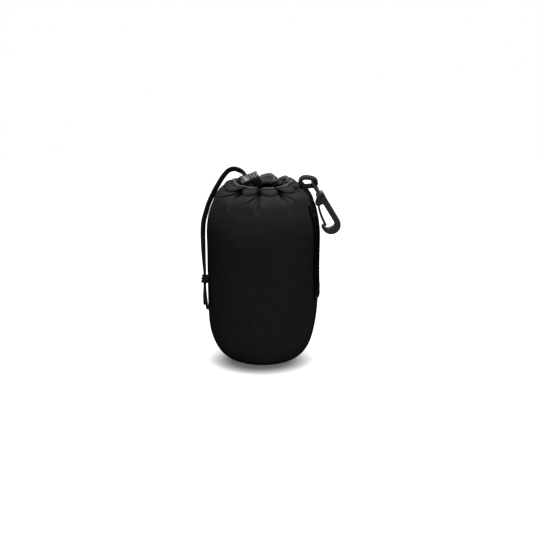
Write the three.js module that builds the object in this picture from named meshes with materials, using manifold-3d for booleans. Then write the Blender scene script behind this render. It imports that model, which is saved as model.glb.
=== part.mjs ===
// Drawstring lens pouch: padded round pouch, gathered hem with a cord, cord lock and swivel snap hook.
// Millimetres, +Z up. The origin is the centre of the base's underside.
// The front faces -Y, the snap hook hangs on +X and the cord falls on -X.

import * as THREE from 'three';
import { mergeVertices } from 'three/addons/utils/BufferGeometryUtils.js';
import Module from 'manifold-3d';

const wasm = await Module();
wasm.setup();

// Fits shared by every piece
const seatGap = 0.3;
const runningGap = 0.3;

// Pouch body, drawn closed
const bodyDiameter = 100;
const baseFlatDiameter = 46;
const hipHeight = 70;
const shoulderDrop = 47;
const gatherDraw = 33;
const gatherHeight = 159;
const rimDraw = 19;
const rimRise = 6.5;
const baseCornerInset = 8.5;
const hipInset = 0.5;
const padThickness = 4.5;
const liningThickness = 1.2;
const baseSeamHeight = 9;
const seamTapeWidth = 8;
const seamTapeThickness = 1;

// Gathered hem
const pleatCount = 9;
const pleatDepth = 3;
const pleatLength = 13;
const firstPleatAngle = THREE.MathUtils.degToRad(262);
const scallopDepth = 1;
const casingThickness = 7.5;
const channelDiameter = 4;
const slitAngle = THREE.MathUtils.degToRad(252);
const slitWidth = 14;
const slitHeight = 3.8;
const slitNeck = { along: 7.5, side: 2 };
const slitThroat = { along: 4, side: 2.6 };
const slitMouth = { along: 1, side: 4.6 };

// Cord and its knot
const cordDiameter = 2.5;
const cordPitch = 3;
const knotDiameter = 7;
const knotHeight = 8.4;
const knotDrop = 80.8;
const knotForward = 16;
const knotInset = 1.6;
const cordStandOff = 3;

// Belt loop and hook tab, both of flat webbing
const webbingThickness = 1.4;
const beltLoopWidth = 25;
const beltLoopBottom = 60;
const beltLoopTopDrop = 13;
const beltLoopAngle = THREE.MathUtils.degToRad(-11);
const beltLoopBow = 0.3;
const tabWidth = 10;
const tabThickness = 2;
const tabFootDrop = 9;
const tabLift = 1;
const tabRise = 7.2;
const tabRun = 5;
const tabCorner = 1.9;
const tabLean = 1.8;
const tabShoulder = 0.3;
const tabCrown = 2.8;

// Cord lock
const lockInset = 12.4;
const lockForward = 4.6;
const lockRise = -1.3;
const lockAxis = new THREE.Vector3(-0.914, -0.156, -0.374).normalize();
const lockCordLean = THREE.MathUtils.degToRad(-20);
const plungerWidth = 8.7;
const plungerDepth = 6;
const plungerTravel = 3;
const plungerFoot = 1.2;
const plungerCap = 1.9;
const barrelWall = 1.3;
const barrelEndWall = 1.4;
const barrelMouthWall = 1.5;
const lockSlideRoom = 5;
const lockCordLead = 3;
const gripGrooveCount = 4;
const gripGrooveWidth = 1.2;
const gripGrooveDepth = 0.8;

// Lock spring
const springWire = 0.5;
const springDiameter = 4.4;
const springTurns = 4;
const springLength = 5.2;

// Swivel snap hook
const eyeBarInset = 5.4;
const eyeBarRise = 4;
const hookLean = THREE.MathUtils.degToRad(31);
const eyeBarThickness = 2.6;
const eyeArmWidth = 2.9;
const eyeThroat = 6.8;
const eyeYoke = 2;
const eyeBevel = 0.6;
const eyeRound = 2;
const eyeHoleRound = 1;
const postDiameter = 3.2;
const postHeadDiameter = 4.8;
const postHeadThickness = 1.6;
const hubNeck = 2.6;
const hubDiameter = 7;
const hookThickness = 7;
const hookLength = 40;
const spineWidth = 5;
const spineOffset = 0.6;
const bowThickness = 6.6;
const hookBevel = 0.7;
const hubRound = 1;
const hubTaper = 2;
const bowRound = 1.5;
const bowCorner = 1;
const noseRound = 1.5;
const noseThickness = 2.8;
const noseOverlap = 2;
const forkRim = 0.7;
const gateThickness = 2;
const gateWidth = 4.4;
const gatePivotDrop = 8;
const gatePivotOffset = 5;
const gateLength = 21.6;
const gateSpread = 4.9;
const gateBow = 0.6;
const gateKnuckleDiameter = 4;
const gatePinDiameter = 1.6;
const pinRecess = 0.1;
const gateSpringWire = 0.35;
const gateSpringTurns = 1.5;

// Facets
const stepsPerPleat = 6;
const ringSteps = pleatCount * stepsPerPleat;
const cordSides = 8;

// Derived sizes and places
const bodyRadius = bodyDiameter / 2;
const shoulderHeight = gatherHeight - shoulderDrop;
const gatherDiameter = bodyDiameter - gatherDraw;
const rimDiameter = gatherDiameter - rimDraw;
const rimHeight = gatherHeight + rimRise;
const pleatStartHeight = gatherHeight - pleatLength;
const beltLoopTop = gatherHeight - beltLoopTopDrop;
const tabFootBottom = gatherHeight - tabFootDrop;
const lockCentre = new THREE.Vector3(lockInset - rimDiameter / 2, -lockForward, rimHeight + lockRise);
const eyeBarPoint = new THREE.Vector3(bodyRadius - eyeBarInset, 0, gatherHeight + eyeBarRise);
const cordSide = new THREE.Vector3(-bodyRadius - cordStandOff, 0, gatherHeight);
const knotCentre = new THREE.Vector3(knotInset, -knotForward, -knotDrop).add(cordSide);
const cordRadius = cordDiameter / 2;
const barrelWidth = plungerWidth + 2 * (runningGap + barrelWall);
const barrelDepth = plungerDepth + 2 * (runningGap + barrelWall);

// Finishes
const finish = (color, roughness, metalness = 0) =>
  new THREE.MeshStandardMaterial({ color, roughness, metalness });

const neoprene = () => finish(0x18181a, 0.85);
const plush = () => finish(0x242428, 0.95);
const webbing = () => finish(0x2b2b2e, 0.8);
const cordCover = () => finish(0x0c0c0d, 0.75);
const acetal = () => finish(0x2e3032, 0.4);
const springSteel = () => finish(0xb8bbc0, 0.3, 1);

const part = new THREE.Group();

function addPiece(parent, name, geometry, material) {
  const mesh = new THREE.Mesh(geometry, material);
  mesh.name = name;
  parent.add(mesh);
  return mesh;
}

// Solids from triangles
function geometryFromTriangles(points, triangles) {
  const geometry = new THREE.BufferGeometry();
  geometry.setAttribute('position', new THREE.Float32BufferAttribute(points.flat(), 3));
  geometry.setIndex(triangles.flat());
  return geometry;
}

function solidFrom(geometry) {
  const bare = geometry.clone();
  bare.deleteAttribute('normal');
  bare.deleteAttribute('uv');
  const merged = mergeVertices(bare, 1e-4);
  const vertProperties = new Float32Array(merged.attributes.position.array);
  const triVerts = new Uint32Array(merged.index.array);
  return new wasm.Manifold(new wasm.Mesh({ numProp: 3, vertProperties, triVerts }));
}

function geometryFrom(solid) {
  const mesh = solid.getMesh();
  const geometry = new THREE.BufferGeometry();
  geometry.setAttribute('position', new THREE.BufferAttribute(new Float32Array(mesh.vertProperties), 3));
  geometry.setIndex(new THREE.BufferAttribute(new Uint32Array(mesh.triVerts), 1));
  return geometry;
}

const cut = (geometry, ...tools) =>
  geometryFrom(tools.reduce((solid, tool) => solid.subtract(solidFrom(tool)), solidFrom(geometry)));

const join = (geometry, ...others) =>
  geometryFrom(others.reduce((solid, other) => solid.add(solidFrom(other)), solidFrom(geometry)));

// A ring about Z whose closed section changes with the angle
function ringSolid(sectionAt, steps) {
  const sections = [];
  for (let i = 0; i < steps; i += 1) {
    const angle = (i / steps) * 2 * Math.PI;
    sections.push(sectionAt(angle).map(([r, z]) => [r * Math.cos(angle), r * Math.sin(angle), z]));
  }
  const count = sections[0].length;
  const triangles = [];
  for (let i = 0; i < steps; i += 1) {
    const here = i * count;
    const next = ((i + 1) % steps) * count;
    for (let j = 0; j < count; j += 1) {
      const k = (j + 1) % count;
      // Facing layers share the way their quads are split, so that they stay parallel
      if (sections[i][j][2] < sections[i][k][2]) {
        triangles.push([here + j, next + j, next + k], [here + j, next + k, here + k]);
      } else {
        triangles.push([here + j, next + j, here + k], [next + j, next + k, here + k]);
      }
    }
  }
  return geometryFromTriangles(sections.flat(), triangles);
}

// A closed slab between an outer and an inner grid of points
function slabSolid(outerAt, innerAt, rows, columns) {
  const points = [];
  for (const pointAt of [outerAt, innerAt]) {
    for (let i = 0; i <= rows; i += 1) {
      for (let j = 0; j <= columns; j += 1) {
        points.push(pointAt(i / rows, j / columns));
      }
    }
  }
  const width = columns + 1;
  const layer = (rows + 1) * width;
  const triangles = [];
  const quad = (a, b, c, d) => triangles.push([a, b, c], [a, c, d]);
  for (let i = 0; i < rows; i += 1) {
    for (let j = 0; j < columns; j += 1) {
      const a = i * width + j;
      quad(a, a + 1, a + width + 1, a + width);
      quad(layer + a, layer + a + width, layer + a + width + 1, layer + a + 1);
    }
  }
  for (let j = 0; j < columns; j += 1) {
    const top = rows * width + j;
    quad(j, layer + j, layer + j + 1, j + 1);
    quad(top, top + 1, layer + top + 1, layer + top);
  }
  for (let i = 0; i < rows; i += 1) {
    const left = i * width;
    const right = left + columns;
    quad(left, left + width, layer + left + width, layer + left);
    quad(right, layer + right, layer + right + width, right + width);
  }
  return geometryFromTriangles(points, triangles);
}

// Round tube along points chosen by hand
function cordTube(points, stepLength) {
  const curve = new THREE.CatmullRomCurve3(points, false, 'centripetal');
  const section = new THREE.Shape().absarc(0, 0, cordRadius, 0, 2 * Math.PI);
  const steps = Math.ceil(curve.getLength() / stepLength);
  return new THREE.ExtrudeGeometry(section, { extrudePath: curve, steps, curveSegments: cordSides / 2 });
}

const alongZ = (geometry) => geometry.rotateX(Math.PI / 2);

// Outer profile of the body as radius and height, from the base flat to the gather line
const baseCorner = new THREE.CubicBezierCurve(
  new THREE.Vector2(baseFlatDiameter / 2, 0),
  new THREE.Vector2(bodyRadius - baseCornerInset, 0),
  new THREE.Vector2(bodyRadius - hipInset, 0.27 * hipHeight),
  new THREE.Vector2(bodyRadius, hipHeight),
);
const shoulder = new THREE.CubicBezierCurve(
  new THREE.Vector2(bodyRadius, shoulderHeight),
  new THREE.Vector2(bodyRadius, shoulderHeight + 0.42 * (gatherHeight - shoulderHeight)),
  new THREE.Vector2(
    gatherDiameter / 2 + 0.73 * (bodyRadius - gatherDiameter / 2),
    shoulderHeight + 0.81 * (gatherHeight - shoulderHeight),
  ),
  new THREE.Vector2(gatherDiameter / 2, gatherHeight),
);

// Parameter at which a rising curve passes a height
function parameterAtHeight(curve, height) {
  let low = 0;
  let high = 1;
  for (let i = 0; i < 40; i += 1) {
    const middle = (low + high) / 2;
    if (curve.getPoint(middle).y < height) {
      low = middle;
    } else {
      high = middle;
    }
  }
  return low;
}

// A stretch of a curve as points with their outward normals
function stretch(curve, from, to, steps) {
  const samples = [];
  for (let i = 0; i <= steps; i += 1) {
    const t = from + ((to - from) * i) / steps;
    const tangent = curve.getTangent(t);
    samples.push({ point: curve.getPoint(t), normal: new THREE.Vector2(tangent.y, -tangent.x) });
  }
  return samples;
}

const offsetPoint = ({ point, normal }, depth) => point.clone().addScaledVector(normal, -depth);

const seamParameter = parameterAtHeight(baseCorner, baseSeamHeight);
const gatherEnd = 1 - seatGap / shoulder.getLength() / 2;
const baseSamples = stretch(baseCorner, 0, seamParameter - seatGap / baseCorner.getLength(), 3);
const wallSamples = [
  ...stretch(baseCorner, seamParameter, 1, 4),
  ...stretch(shoulder, 0, gatherEnd, 5),
];

// Pleats: full at the gather line, gone below the start height, deepest in the valleys
const pleatShare = (height) => THREE.MathUtils.smoothstep(height, pleatStartHeight, gatherHeight);
const valley = (angle) => (1 + Math.cos(pleatCount * (angle - firstPleatAngle))) / 2;
const pleatInset = (angle, height) => pleatDepth * pleatShare(height) * valley(angle);

// Section of a layer of the wall between two depths below the outer face
function wallLayer(angle, outerDepth, innerDepth) {
  const place = (depth) => (sample) => {
    const at = offsetPoint(sample, depth);
    return [at.x - pleatInset(angle, sample.point.y), at.y];
  };
  return [...wallSamples.map(place(outerDepth)), ...wallSamples.map(place(innerDepth)).reverse()];
}

const liningDepth = padThickness + seatGap;
const innerDepth = liningDepth + liningThickness;

const wallRing = (outer, inner) => ringSolid((angle) => wallLayer(angle, outer, inner), ringSteps);
addPiece(part, 'wall_panel', wallRing(0, padThickness), neoprene());
addPiece(part, 'wall_lining', wallRing(liningDepth, innerDepth), plush());

// Base disc and its lining, turned about Z
function baseLayer(outerDepth, innerDepthHere) {
  const rim = (depth) => baseSamples.map((sample) => offsetPoint(sample, depth));
  const outline = [
    new THREE.Vector2(0, outerDepth),
    ...rim(outerDepth),
    ...rim(innerDepthHere).reverse(),
    new THREE.Vector2(0, innerDepthHere),
  ];
  return alongZ(new THREE.LatheGeometry(outline, ringSteps));
}

addPiece(part, 'base_panel', baseLayer(0, padThickness), neoprene());
addPiece(part, 'base_lining', baseLayer(liningDepth, innerDepth), plush());

// Tape over the base seam, on the inside of the linings
const tapeHalf = seamTapeWidth / 2 / baseCorner.getLength();
const tapeSamples = stretch(baseCorner, seamParameter - tapeHalf, seamParameter + tapeHalf, 1);
const tapeOuter = tapeSamples.map((sample) => offsetPoint(sample, innerDepth + seatGap).toArray());
const tapeInner = tapeSamples.map((sample) =>
  offsetPoint(sample, innerDepth + seatGap + seamTapeThickness).toArray());
const tapeSection = [...tapeOuter, ...tapeInner.reverse()];
addPiece(part, 'base_seam_tape', ringSolid(() => tapeSection, ringSteps), webbing());

// Hem casing: a folded band from the gather line to the rim, with the cord channel inside
const gatherPoint = new THREE.Vector2(gatherDiameter / 2, gatherHeight);
const rimPoint = new THREE.Vector2(rimDiameter / 2, rimHeight);
const bandLength = gatherPoint.distanceTo(rimPoint);
const bandAlong = rimPoint.clone().sub(gatherPoint).normalize();
const bandInward = new THREE.Vector2(-bandAlong.y, bandAlong.x);
const bandPoint = (along, depth) =>
  gatherPoint.clone().addScaledVector(bandAlong, along).addScaledVector(bandInward, depth);

const foldRadius = casingThickness / 2;
const foldSteps = 4;
const casingOutline = [bandPoint(seatGap / 2, 0)];
for (let i = 0; i <= foldSteps; i += 1) {
  const turn = (i / foldSteps) * Math.PI;
  const along = bandLength - foldRadius + foldRadius * Math.sin(turn);
  casingOutline.push(bandPoint(along, foldRadius - foldRadius * Math.cos(turn)));
}
casingOutline.push(bandPoint(seatGap / 2, casingThickness));

const rimShare = (height) => THREE.MathUtils.smoothstep(height, gatherHeight, rimHeight);
function gathered(angle, point) {
  const inset = pleatDepth * valley(angle);
  return [point.x - inset, point.y - scallopDepth * rimShare(point.y) * valley(angle)];
}

const channelAlong = bandLength - foldRadius - channelDiameter / 2;
const channelCentre = bandPoint(channelAlong, casingThickness / 2);
const channelSection = [];
for (let i = 0; i < cordSides; i += 1) {
  const turn = (i / cordSides) * 2 * Math.PI;
  const x = channelCentre.x + (channelDiameter / 2) * Math.cos(turn);
  channelSection.push([x, channelCentre.y + (channelDiameter / 2) * Math.sin(turn)]);
}
const channelRadiusAt = (angle) => channelCentre.x - pleatDepth * valley(angle);

// Points beside the slit: along the band's way out, with a step to the side
const slitOut = new THREE.Vector3(Math.cos(slitAngle), Math.sin(slitAngle), 0);
const slitSide = new THREE.Vector3(-Math.sin(slitAngle), Math.cos(slitAngle), 0);
function slitPoint(along, side) {
  const point = slitOut.clone().multiplyScalar(channelRadiusAt(slitAngle) + bandAlong.x * along);
  point.z = channelCentre.y + bandAlong.y * along;
  return point.addScaledVector(slitSide, side);
}

function slitTool() {
  const reach = bandLength;
  const box = new THREE.BoxGeometry(reach, slitWidth, slitHeight);
  box.translate(reach / 2, 0, 0);
  const way = slitPoint(1, 0).sub(slitPoint(0, 0)).normalize();
  const across = slitSide.clone();
  const upward = way.clone().cross(across);
  const placing = new THREE.Matrix4().makeBasis(way, across, upward).setPosition(slitPoint(0, 0));
  return box.applyMatrix4(placing);
}

const casingBlank = ringSolid((angle) => casingOutline.map((point) => gathered(angle, point)), ringSteps);
const channelTool = ringSolid(
  (angle) => channelSection.map(([x, z]) => [x - pleatDepth * valley(angle), z]), ringSteps);
addPiece(part, 'hem_casing', cut(casingBlank, channelTool, slitTool()), neoprene());

// Outer face of the wall at an angle and height, lifted off by a distance
const upperWall = wallSamples.map(({ point }) => point);
function wallRadiusAt(height) {
  const above = upperWall.findIndex((point) => point.y >= height);
  const high = upperWall[above];
  const low = upperWall[above - 1];
  return THREE.MathUtils.mapLinear(height, low.y, high.y, low.x, high.x);
}

// Belt loop: flat webbing sewn down at both ends on the right flank, bent where the wall bends
const wallBends = upperWall.map(({ y }) => y);
const bendsBehind = wallBends.filter((height) => height > beltLoopBottom && height < beltLoopTop);
const beltHeights = [beltLoopBottom, ...bendsBehind, beltLoopTop];
const beltRows = beltHeights.length - 1;
const beltColumns = 4;
function beltLoopPoint(lift) {
  return (up, across) => {
    const height = beltHeights[Math.round(up * beltRows)];
    const rise = (height - beltLoopBottom) / (beltLoopTop - beltLoopBottom);
    const flank = wallRadiusAt(height) + seatGap + beltLoopBow * Math.sin(Math.PI * rise) + lift;
    const angle = beltLoopAngle + ((across - 0.5) * beltLoopWidth) / bodyRadius;
    return [flank * Math.cos(angle), flank * Math.sin(angle), height];
  };
}
const beltLoop = slabSolid(beltLoopPoint(webbingThickness), beltLoopPoint(0), beltRows, beltColumns);
addPiece(part, 'belt_loop', beltLoop, webbing());

// Cord lock, in a frame of its own: x towards the plunger, y against the cord's way out, z up
const lockSide = new THREE.Vector3(0, 0, 1).cross(lockAxis).normalize();
const cordInward = lockSide.clone().applyAxisAngle(lockAxis, lockCordLean);
const lockUp = lockAxis.clone().cross(cordInward);
const lockFrame = new THREE.Matrix4().makeBasis(lockAxis, cordInward, lockUp).setPosition(lockCentre);
const lock = new THREE.Group();
lock.applyMatrix4(lockFrame);
part.add(lock);

// Places along the lock's axis, measured from the cords
const cordHoleHalf = cordRadius + runningGap;
const footFace = -cordHoleHalf - plungerFoot;
const springOuterEnd = footFace - seatGap;
const barrelFloor = springOuterEnd - springLength - seatGap;
const barrelBack = barrelFloor - barrelEndWall;
const barrelMouth = cordHoleHalf + barrelMouthWall;
const slotEnd = cordHoleHalf + plungerTravel;
const plungerEnd = slotEnd + plungerCap;
const cordSpacing = cordDiameter + 2 * runningGap;
const cordHoleHeight = cordSpacing + 2 * cordHoleHalf;

function boxBetween(fromX, toX, sizeY, sizeZ) {
  return new THREE.BoxGeometry(toX - fromX, sizeY, sizeZ).translate((fromX + toX) / 2, 0, 0);
}

// A block along x with rounded edges
function roundedBlock(fromX, toX, sizeY, sizeZ, radius) {
  const outline = new THREE.Shape();
  const halfY = sizeY / 2;
  const halfZ = sizeZ / 2;
  outline.absarc(halfZ - radius, halfY - radius, radius, 0, Math.PI / 2);
  outline.absarc(radius - halfZ, halfY - radius, radius, Math.PI / 2, Math.PI);
  outline.absarc(radius - halfZ, radius - halfY, radius, Math.PI, 1.5 * Math.PI);
  outline.absarc(halfZ - radius, radius - halfY, radius, 1.5 * Math.PI, 2 * Math.PI);
  const block = new THREE.ExtrudeGeometry(outline, {
    depth: toX - fromX, bevelEnabled: false, curveSegments: 2 });
  return block.rotateY(Math.PI / 2).translate(fromX, 0, 0);
}

const gripTools = [];
const gripPitch = (barrelMouth - barrelBack - 2 * barrelEndWall) / gripGrooveCount;
for (let i = 0; i < gripGrooveCount; i += 1) {
  const middle = barrelBack + barrelEndWall + (i + 0.5) * gripPitch;
  for (const face of [-1, 1]) {
    const groove = boxBetween(middle - gripGrooveWidth / 2, middle + gripGrooveWidth / 2,
      2 * barrelDepth, 2 * gripGrooveDepth);
    gripTools.push(groove.translate(0, 0, (face * barrelWidth) / 2));
  }
}
const barrelBore = boxBetween(barrelFloor, barrelMouth + 1,
  plungerDepth + 2 * runningGap, plungerWidth + 2 * runningGap);
const barrelHole = boxBetween(-cordHoleHalf, cordHoleHalf, 2 * barrelDepth, cordHoleHeight);
const barrelBlank = roundedBlock(barrelBack, barrelMouth, barrelDepth, barrelWidth, barrelWall);
addPiece(lock, 'lock_barrel', cut(barrelBlank, barrelBore, barrelHole, ...gripTools), acetal());

const plungerBlank = roundedBlock(footFace, plungerEnd, plungerDepth, plungerWidth, barrelWall);
const plungerSlot = boxBetween(-cordHoleHalf, slotEnd, 2 * plungerDepth, cordHoleHeight);
addPiece(lock, 'lock_plunger', cut(plungerBlank, plungerSlot), acetal());

// A coil along x as one unbroken wire, and the least gap between its turns
function coil(length, turns, diameter, wire) {
  const stepsPerTurn = 8;
  const steps = Math.round(turns * stepsPerTurn);
  const radius = (diameter - wire) / 2;
  const rise = length - wire;
  const points = [];
  const sides = 5;
  for (let i = 0; i <= steps; i += 1) {
    const turn = (i / stepsPerTurn) * 2 * Math.PI;
    const climb = wire / 2 + (rise * i) / steps;
    for (let k = 0; k < sides; k += 1) {
      const round = (k / sides) * 2 * Math.PI;
      const out = radius + (wire / 2) * Math.cos(round);
      const along = climb + (wire / 2) * Math.sin(round);
      points.push([along, out * Math.cos(turn), out * Math.sin(turn)]);
    }
  }
  const triangles = [];
  for (let i = 0; i < steps; i += 1) {
    for (let k = 0; k < sides; k += 1) {
      const a = i * sides + k;
      const b = i * sides + ((k + 1) % sides);
      triangles.push([a, b + sides, b], [a, a + sides, b + sides]);
    }
  }
  for (let k = 1; k < sides - 1; k += 1) {
    triangles.push([0, k, k + 1]);
    triangles.push([steps * sides, steps * sides + k + 1, steps * sides + k]);
  }
  const gap = rise / turns - wire;
  return { geometry: geometryFromTriangles(points, triangles), gap };
}

const lockCoil = coil(springLength, springTurns, springDiameter, springWire);
console.log(`lock spring, least gap between turns ${lockCoil.gap.toFixed(2)} mm`);
lockCoil.geometry.translate(barrelFloor + seatGap, 0, 0);
addPiece(lock, 'lock_spring', lockCoil.geometry, springSteel());

// Cord: a hidden ring in the channel, two strands through the lock, a knot and two tails
const straightStart = barrelDepth / 2 + lockCordLead;
const straightEnd = barrelDepth / 2 + lockSlideRoom + cordDiameter;
const lockPoint = (along, up) => new THREE.Vector3(0, -along, up).applyMatrix4(lockFrame);

const ringMargin = Math.asin((slitWidth / 2) / channelRadiusAt(slitAngle));
function drawcordRoute() {
  const entry = (up) => [seatGap, cordDiameter].map((before) => lockPoint(-straightStart - before, up));
  const points = entry(-cordSpacing / 2);
  points.push(...[slitNeck, slitThroat, slitMouth].map(({ along, side }) => slitPoint(along, side)));
  const arcSteps = ringSteps - 4;
  for (let i = 0; i <= arcSteps; i += 1) {
    const angle = slitAngle + ringMargin + ((2 * Math.PI - 2 * ringMargin) * i) / arcSteps;
    const radius = channelRadiusAt(angle);
    points.push(new THREE.Vector3(radius * Math.cos(angle), radius * Math.sin(angle), channelCentre.y));
  }
  points.push(...[slitMouth, slitThroat, slitNeck].map(({ along, side }) => slitPoint(along, -side)));
  points.push(...entry(cordSpacing / 2).reverse());
  return points;
}
addPiece(part, 'drawcord', cordTube(drawcordRoute(), cordDiameter), cordCover());

const strandStep = cordPitch * cordDiameter;
const straightStops = [-straightStart, 0, straightEnd - 1, straightEnd];
const straightRun = (up) => straightStops.map((along) => lockPoint(along, up));
const stepsFrom = (origin, ...steps) => steps.map(([x, y, z]) => new THREE.Vector3(x, y, z).add(origin));
const knotTop = knotCentre.z + knotHeight / 2 + seatGap;
const knotBottom = knotCentre.z - knotHeight / 2 - seatGap;
const intoKnot = (side) => [cordDiameter, 0].map((above) =>
  new THREE.Vector3(knotCentre.x, knotCentre.y + side, knotTop + above));
const strandA = [
  ...straightRun(cordSpacing / 2),
  ...stepsFrom(lockCentre, [-5.7, 13.8, 6.6], [-8.6, 16, 8], [-13.7, 16.7, 9.2], [-18.9, 15.8, 7.8],
    [-23.6, 13.5, 3.3], [-28.5, 10.7, -3.9]),
  ...stepsFrom(cordSide, [8.5, 3.8, -6.3], [4.7, 1.6, -14.3], [1.8, -0.2, -22.9], [-0.4, -2, -31.4],
    [-1, -4.2, -40.8], [-0.5, -9.4, -53.2], [0.7, -15, -65.6]),
  ...intoKnot(-cordSpacing / 2),
];
const strandB = [
  ...straightRun(-cordSpacing / 2),
  ...stepsFrom(lockCentre, [-5.1, 15.2, 4], [-8.9, 17.6, 5.6], [-13.7, 18.3, 6.8], [-18.1, 17.4, 5.6],
    [-22.3, 15.3, 1.4], [-26.9, 12.5, -5.5]),
  ...stepsFrom(cordSide, [10.2, 5.6, -7.7], [6.4, 3.6, -15.5], [3.7, 1.8, -23.8], [1.5, 0, -32.2],
    [0.9, -2.2, -41.4], [1.1, -7.1, -53.7], [1.4, -12.4, -66.1]),
  ...intoKnot(cordSpacing / 2),
];
addPiece(part, 'cord_strand_a', cordTube(strandA, strandStep), cordCover());
addPiece(part, 'cord_strand_b', cordTube(strandB, strandStep), cordCover());

const knotOutline = [
  new THREE.Vector2(0, -knotHeight / 2),
  new THREE.Vector2(0.42 * knotDiameter, -knotHeight / 2),
  new THREE.Vector2(0.5 * knotDiameter, -knotHeight / 5),
  new THREE.Vector2(0.5 * knotDiameter, knotHeight / 5),
  new THREE.Vector2(0.42 * knotDiameter, knotHeight / 2),
  new THREE.Vector2(0, knotHeight / 2),
];
const knot = alongZ(new THREE.LatheGeometry(knotOutline, 14));
addPiece(part, 'cord_knot', knot, cordCover()).position.copy(knotCentre);

const tailA = [
  new THREE.Vector3(knotCentre.x, knotCentre.y - cordSpacing / 2, knotBottom),
  ...stepsFrom(knotCentre, [0.7, -2.8, -15], [2.1, -4.4, -26.2]),
];
const tailB = [
  new THREE.Vector3(knotCentre.x, knotCentre.y + cordSpacing / 2, knotBottom),
  ...stepsFrom(knotCentre, [-0.7, 1.2, -15], [-0.5, -0.4, -23.6]),
];
addPiece(part, 'cord_tail_a', cordTube(tailA, strandStep), cordCover());
addPiece(part, 'cord_tail_b', cordTube(tailB, strandStep), cordCover());

// Hook tab: a webbing loop that holds the eye's bar, on a foot sewn to the right flank
const tabBend = eyeBarThickness / 2 + seatGap + runningGap + tabThickness / 2;
const besideBar = (degrees) => {
  const turn = THREE.MathUtils.degToRad(degrees);
  const across = tabBend * Math.cos(turn);
  return new THREE.Vector2(eyeBarPoint.x + across, eyeBarPoint.z + tabBend * Math.sin(turn));
};
const tabFoot = new THREE.Vector2(gatherDiameter / 2 + tabThickness, gatherHeight + tabLift);

// A strip of webbing along a curve in the X-Z plane, clockwise where closed, with its width along Y
function strip(curve, closed, steps) {
  const sides = [[], []];
  const last = closed ? steps - 1 : steps;
  for (let i = 0; i <= last; i += 1) {
    const { x, y } = curve.getPointAt(i / steps);
    const tangent = curve.getTangentAt(i / steps);
    const normal = new THREE.Vector2(-tangent.y, tangent.x).multiplyScalar(tabThickness / 2);
    sides[0].push(new THREE.Vector2(x, y).add(normal));
    sides[1].push(new THREE.Vector2(x, y).sub(normal));
  }
  const outline = new THREE.Shape(closed ? sides[0] : [...sides[0], ...sides[1].reverse()]);
  if (closed) {
    outline.holes.push(new THREE.Path(sides[1].reverse()));
  }
  const solid = new THREE.ExtrudeGeometry(outline, { depth: tabWidth, bevelEnabled: false });
  return solid.rotateX(Math.PI / 2).translate(0, tabWidth / 2, 0);
}

const planarCurve = (points, closed) => new THREE.CatmullRomCurve3(
  points.map((point) => new THREE.Vector3(point.x, point.y, 0)), closed, 'centripetal');

function tabLoopCurve() {
  const points = [
    besideBar(60), besideBar(0), besideBar(-60), besideBar(-115),
    new THREE.Vector2(tabFoot.x + tabRun, tabFoot.y),
    new THREE.Vector2(tabFoot.x + tabCorner, tabFoot.y),
    new THREE.Vector2(tabFoot.x, tabFoot.y + tabCorner),
    new THREE.Vector2(tabFoot.x - tabLean, tabFoot.y + 0.6 * tabRise),
    new THREE.Vector2(tabFoot.x + tabShoulder, tabFoot.y + 0.92 * tabRise),
    new THREE.Vector2(tabFoot.x + tabCrown, tabFoot.y + tabRise),
  ];
  return planarCurve(points, true);
}

function tabFootCurve() {
  const samples = stretch(shoulder, parameterAtHeight(shoulder, tabFootBottom), 1, 4);
  const lift = seatGap + tabThickness / 2;
  const footEnd = new THREE.Vector2(tabFoot.x, tabFoot.y + tabCorner);
  return planarCurve([...samples.map((sample) => offsetPoint(sample, -lift)), footEnd], false);
}
addPiece(part, 'hook_tab', join(strip(tabLoopCurve(), true, 30), strip(tabFootCurve(), false, 6)), webbing());

// Snap hook, in a frame of its own at the eye's bar: x away from the pouch, z up along the swivel axis
const hook = new THREE.Group();
hook.position.copy(eyeBarPoint);
hook.rotation.y = -hookLean;
part.add(hook);

// Drops along the swivel axis, measured from the bar
const throatTop = -eyeBarThickness / 2;
const yokeTop = throatTop - eyeThroat;
const yokeBottom = yokeTop - eyeYoke;
const hubTop = yokeBottom - seatGap;
const windowTop = hubTop - hubNeck;
const windowBottom = windowTop - postHeadThickness - 2 * runningGap;
const postHeadTop = windowTop - runningGap;

const turned = (geometry, x, y, z) => geometry.rotateX(Math.PI / 2).translate(x, y, z);
function pinAlongY(diameter, length, x, z, sides = 16) {
  return new THREE.CylinderGeometry(diameter / 2, diameter / 2, length, sides).translate(x, 0, z);
}
function pinAlongZ(diameter, top, bottom) {
  const length = top - bottom;
  const pin = new THREE.CylinderGeometry(diameter / 2, diameter / 2, length, 16);
  return turned(pin, 0, 0, (top + bottom) / 2);
}

// Swivel eye: a loop drawn in the Y-Z plane, with a headed post below its yoke
const eyeInside = tabWidth / 2 + 2 * runningGap;
const eyeOutside = eyeInside + eyeArmWidth;
const eyeWaist = hubDiameter / 2;
const eyeShoulder = throatTop - tabThickness - 2 * runningGap;
const eyeTop = eyeBarThickness / 2;
const eyeOutline = new THREE.Shape();
eyeOutline.moveTo(eyeOutside - eyeRound, eyeTop);
eyeOutline.lineTo(eyeRound - eyeOutside, eyeTop);
eyeOutline.quadraticCurveTo(-eyeOutside, eyeTop, -eyeOutside, eyeTop - eyeRound);
eyeOutline.bezierCurveTo(-eyeOutside, yokeBottom, -eyeInside, yokeBottom, -eyeWaist, yokeBottom);
eyeOutline.lineTo(eyeWaist, yokeBottom);
eyeOutline.bezierCurveTo(eyeInside, yokeBottom, eyeOutside, yokeBottom, eyeOutside, eyeTop - eyeRound);
eyeOutline.quadraticCurveTo(eyeOutside, eyeTop, eyeOutside - eyeRound, eyeTop);
const eyeHole = new THREE.Path();
eyeHole.moveTo(eyeInside, throatTop);
eyeHole.lineTo(eyeInside, eyeShoulder);
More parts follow.
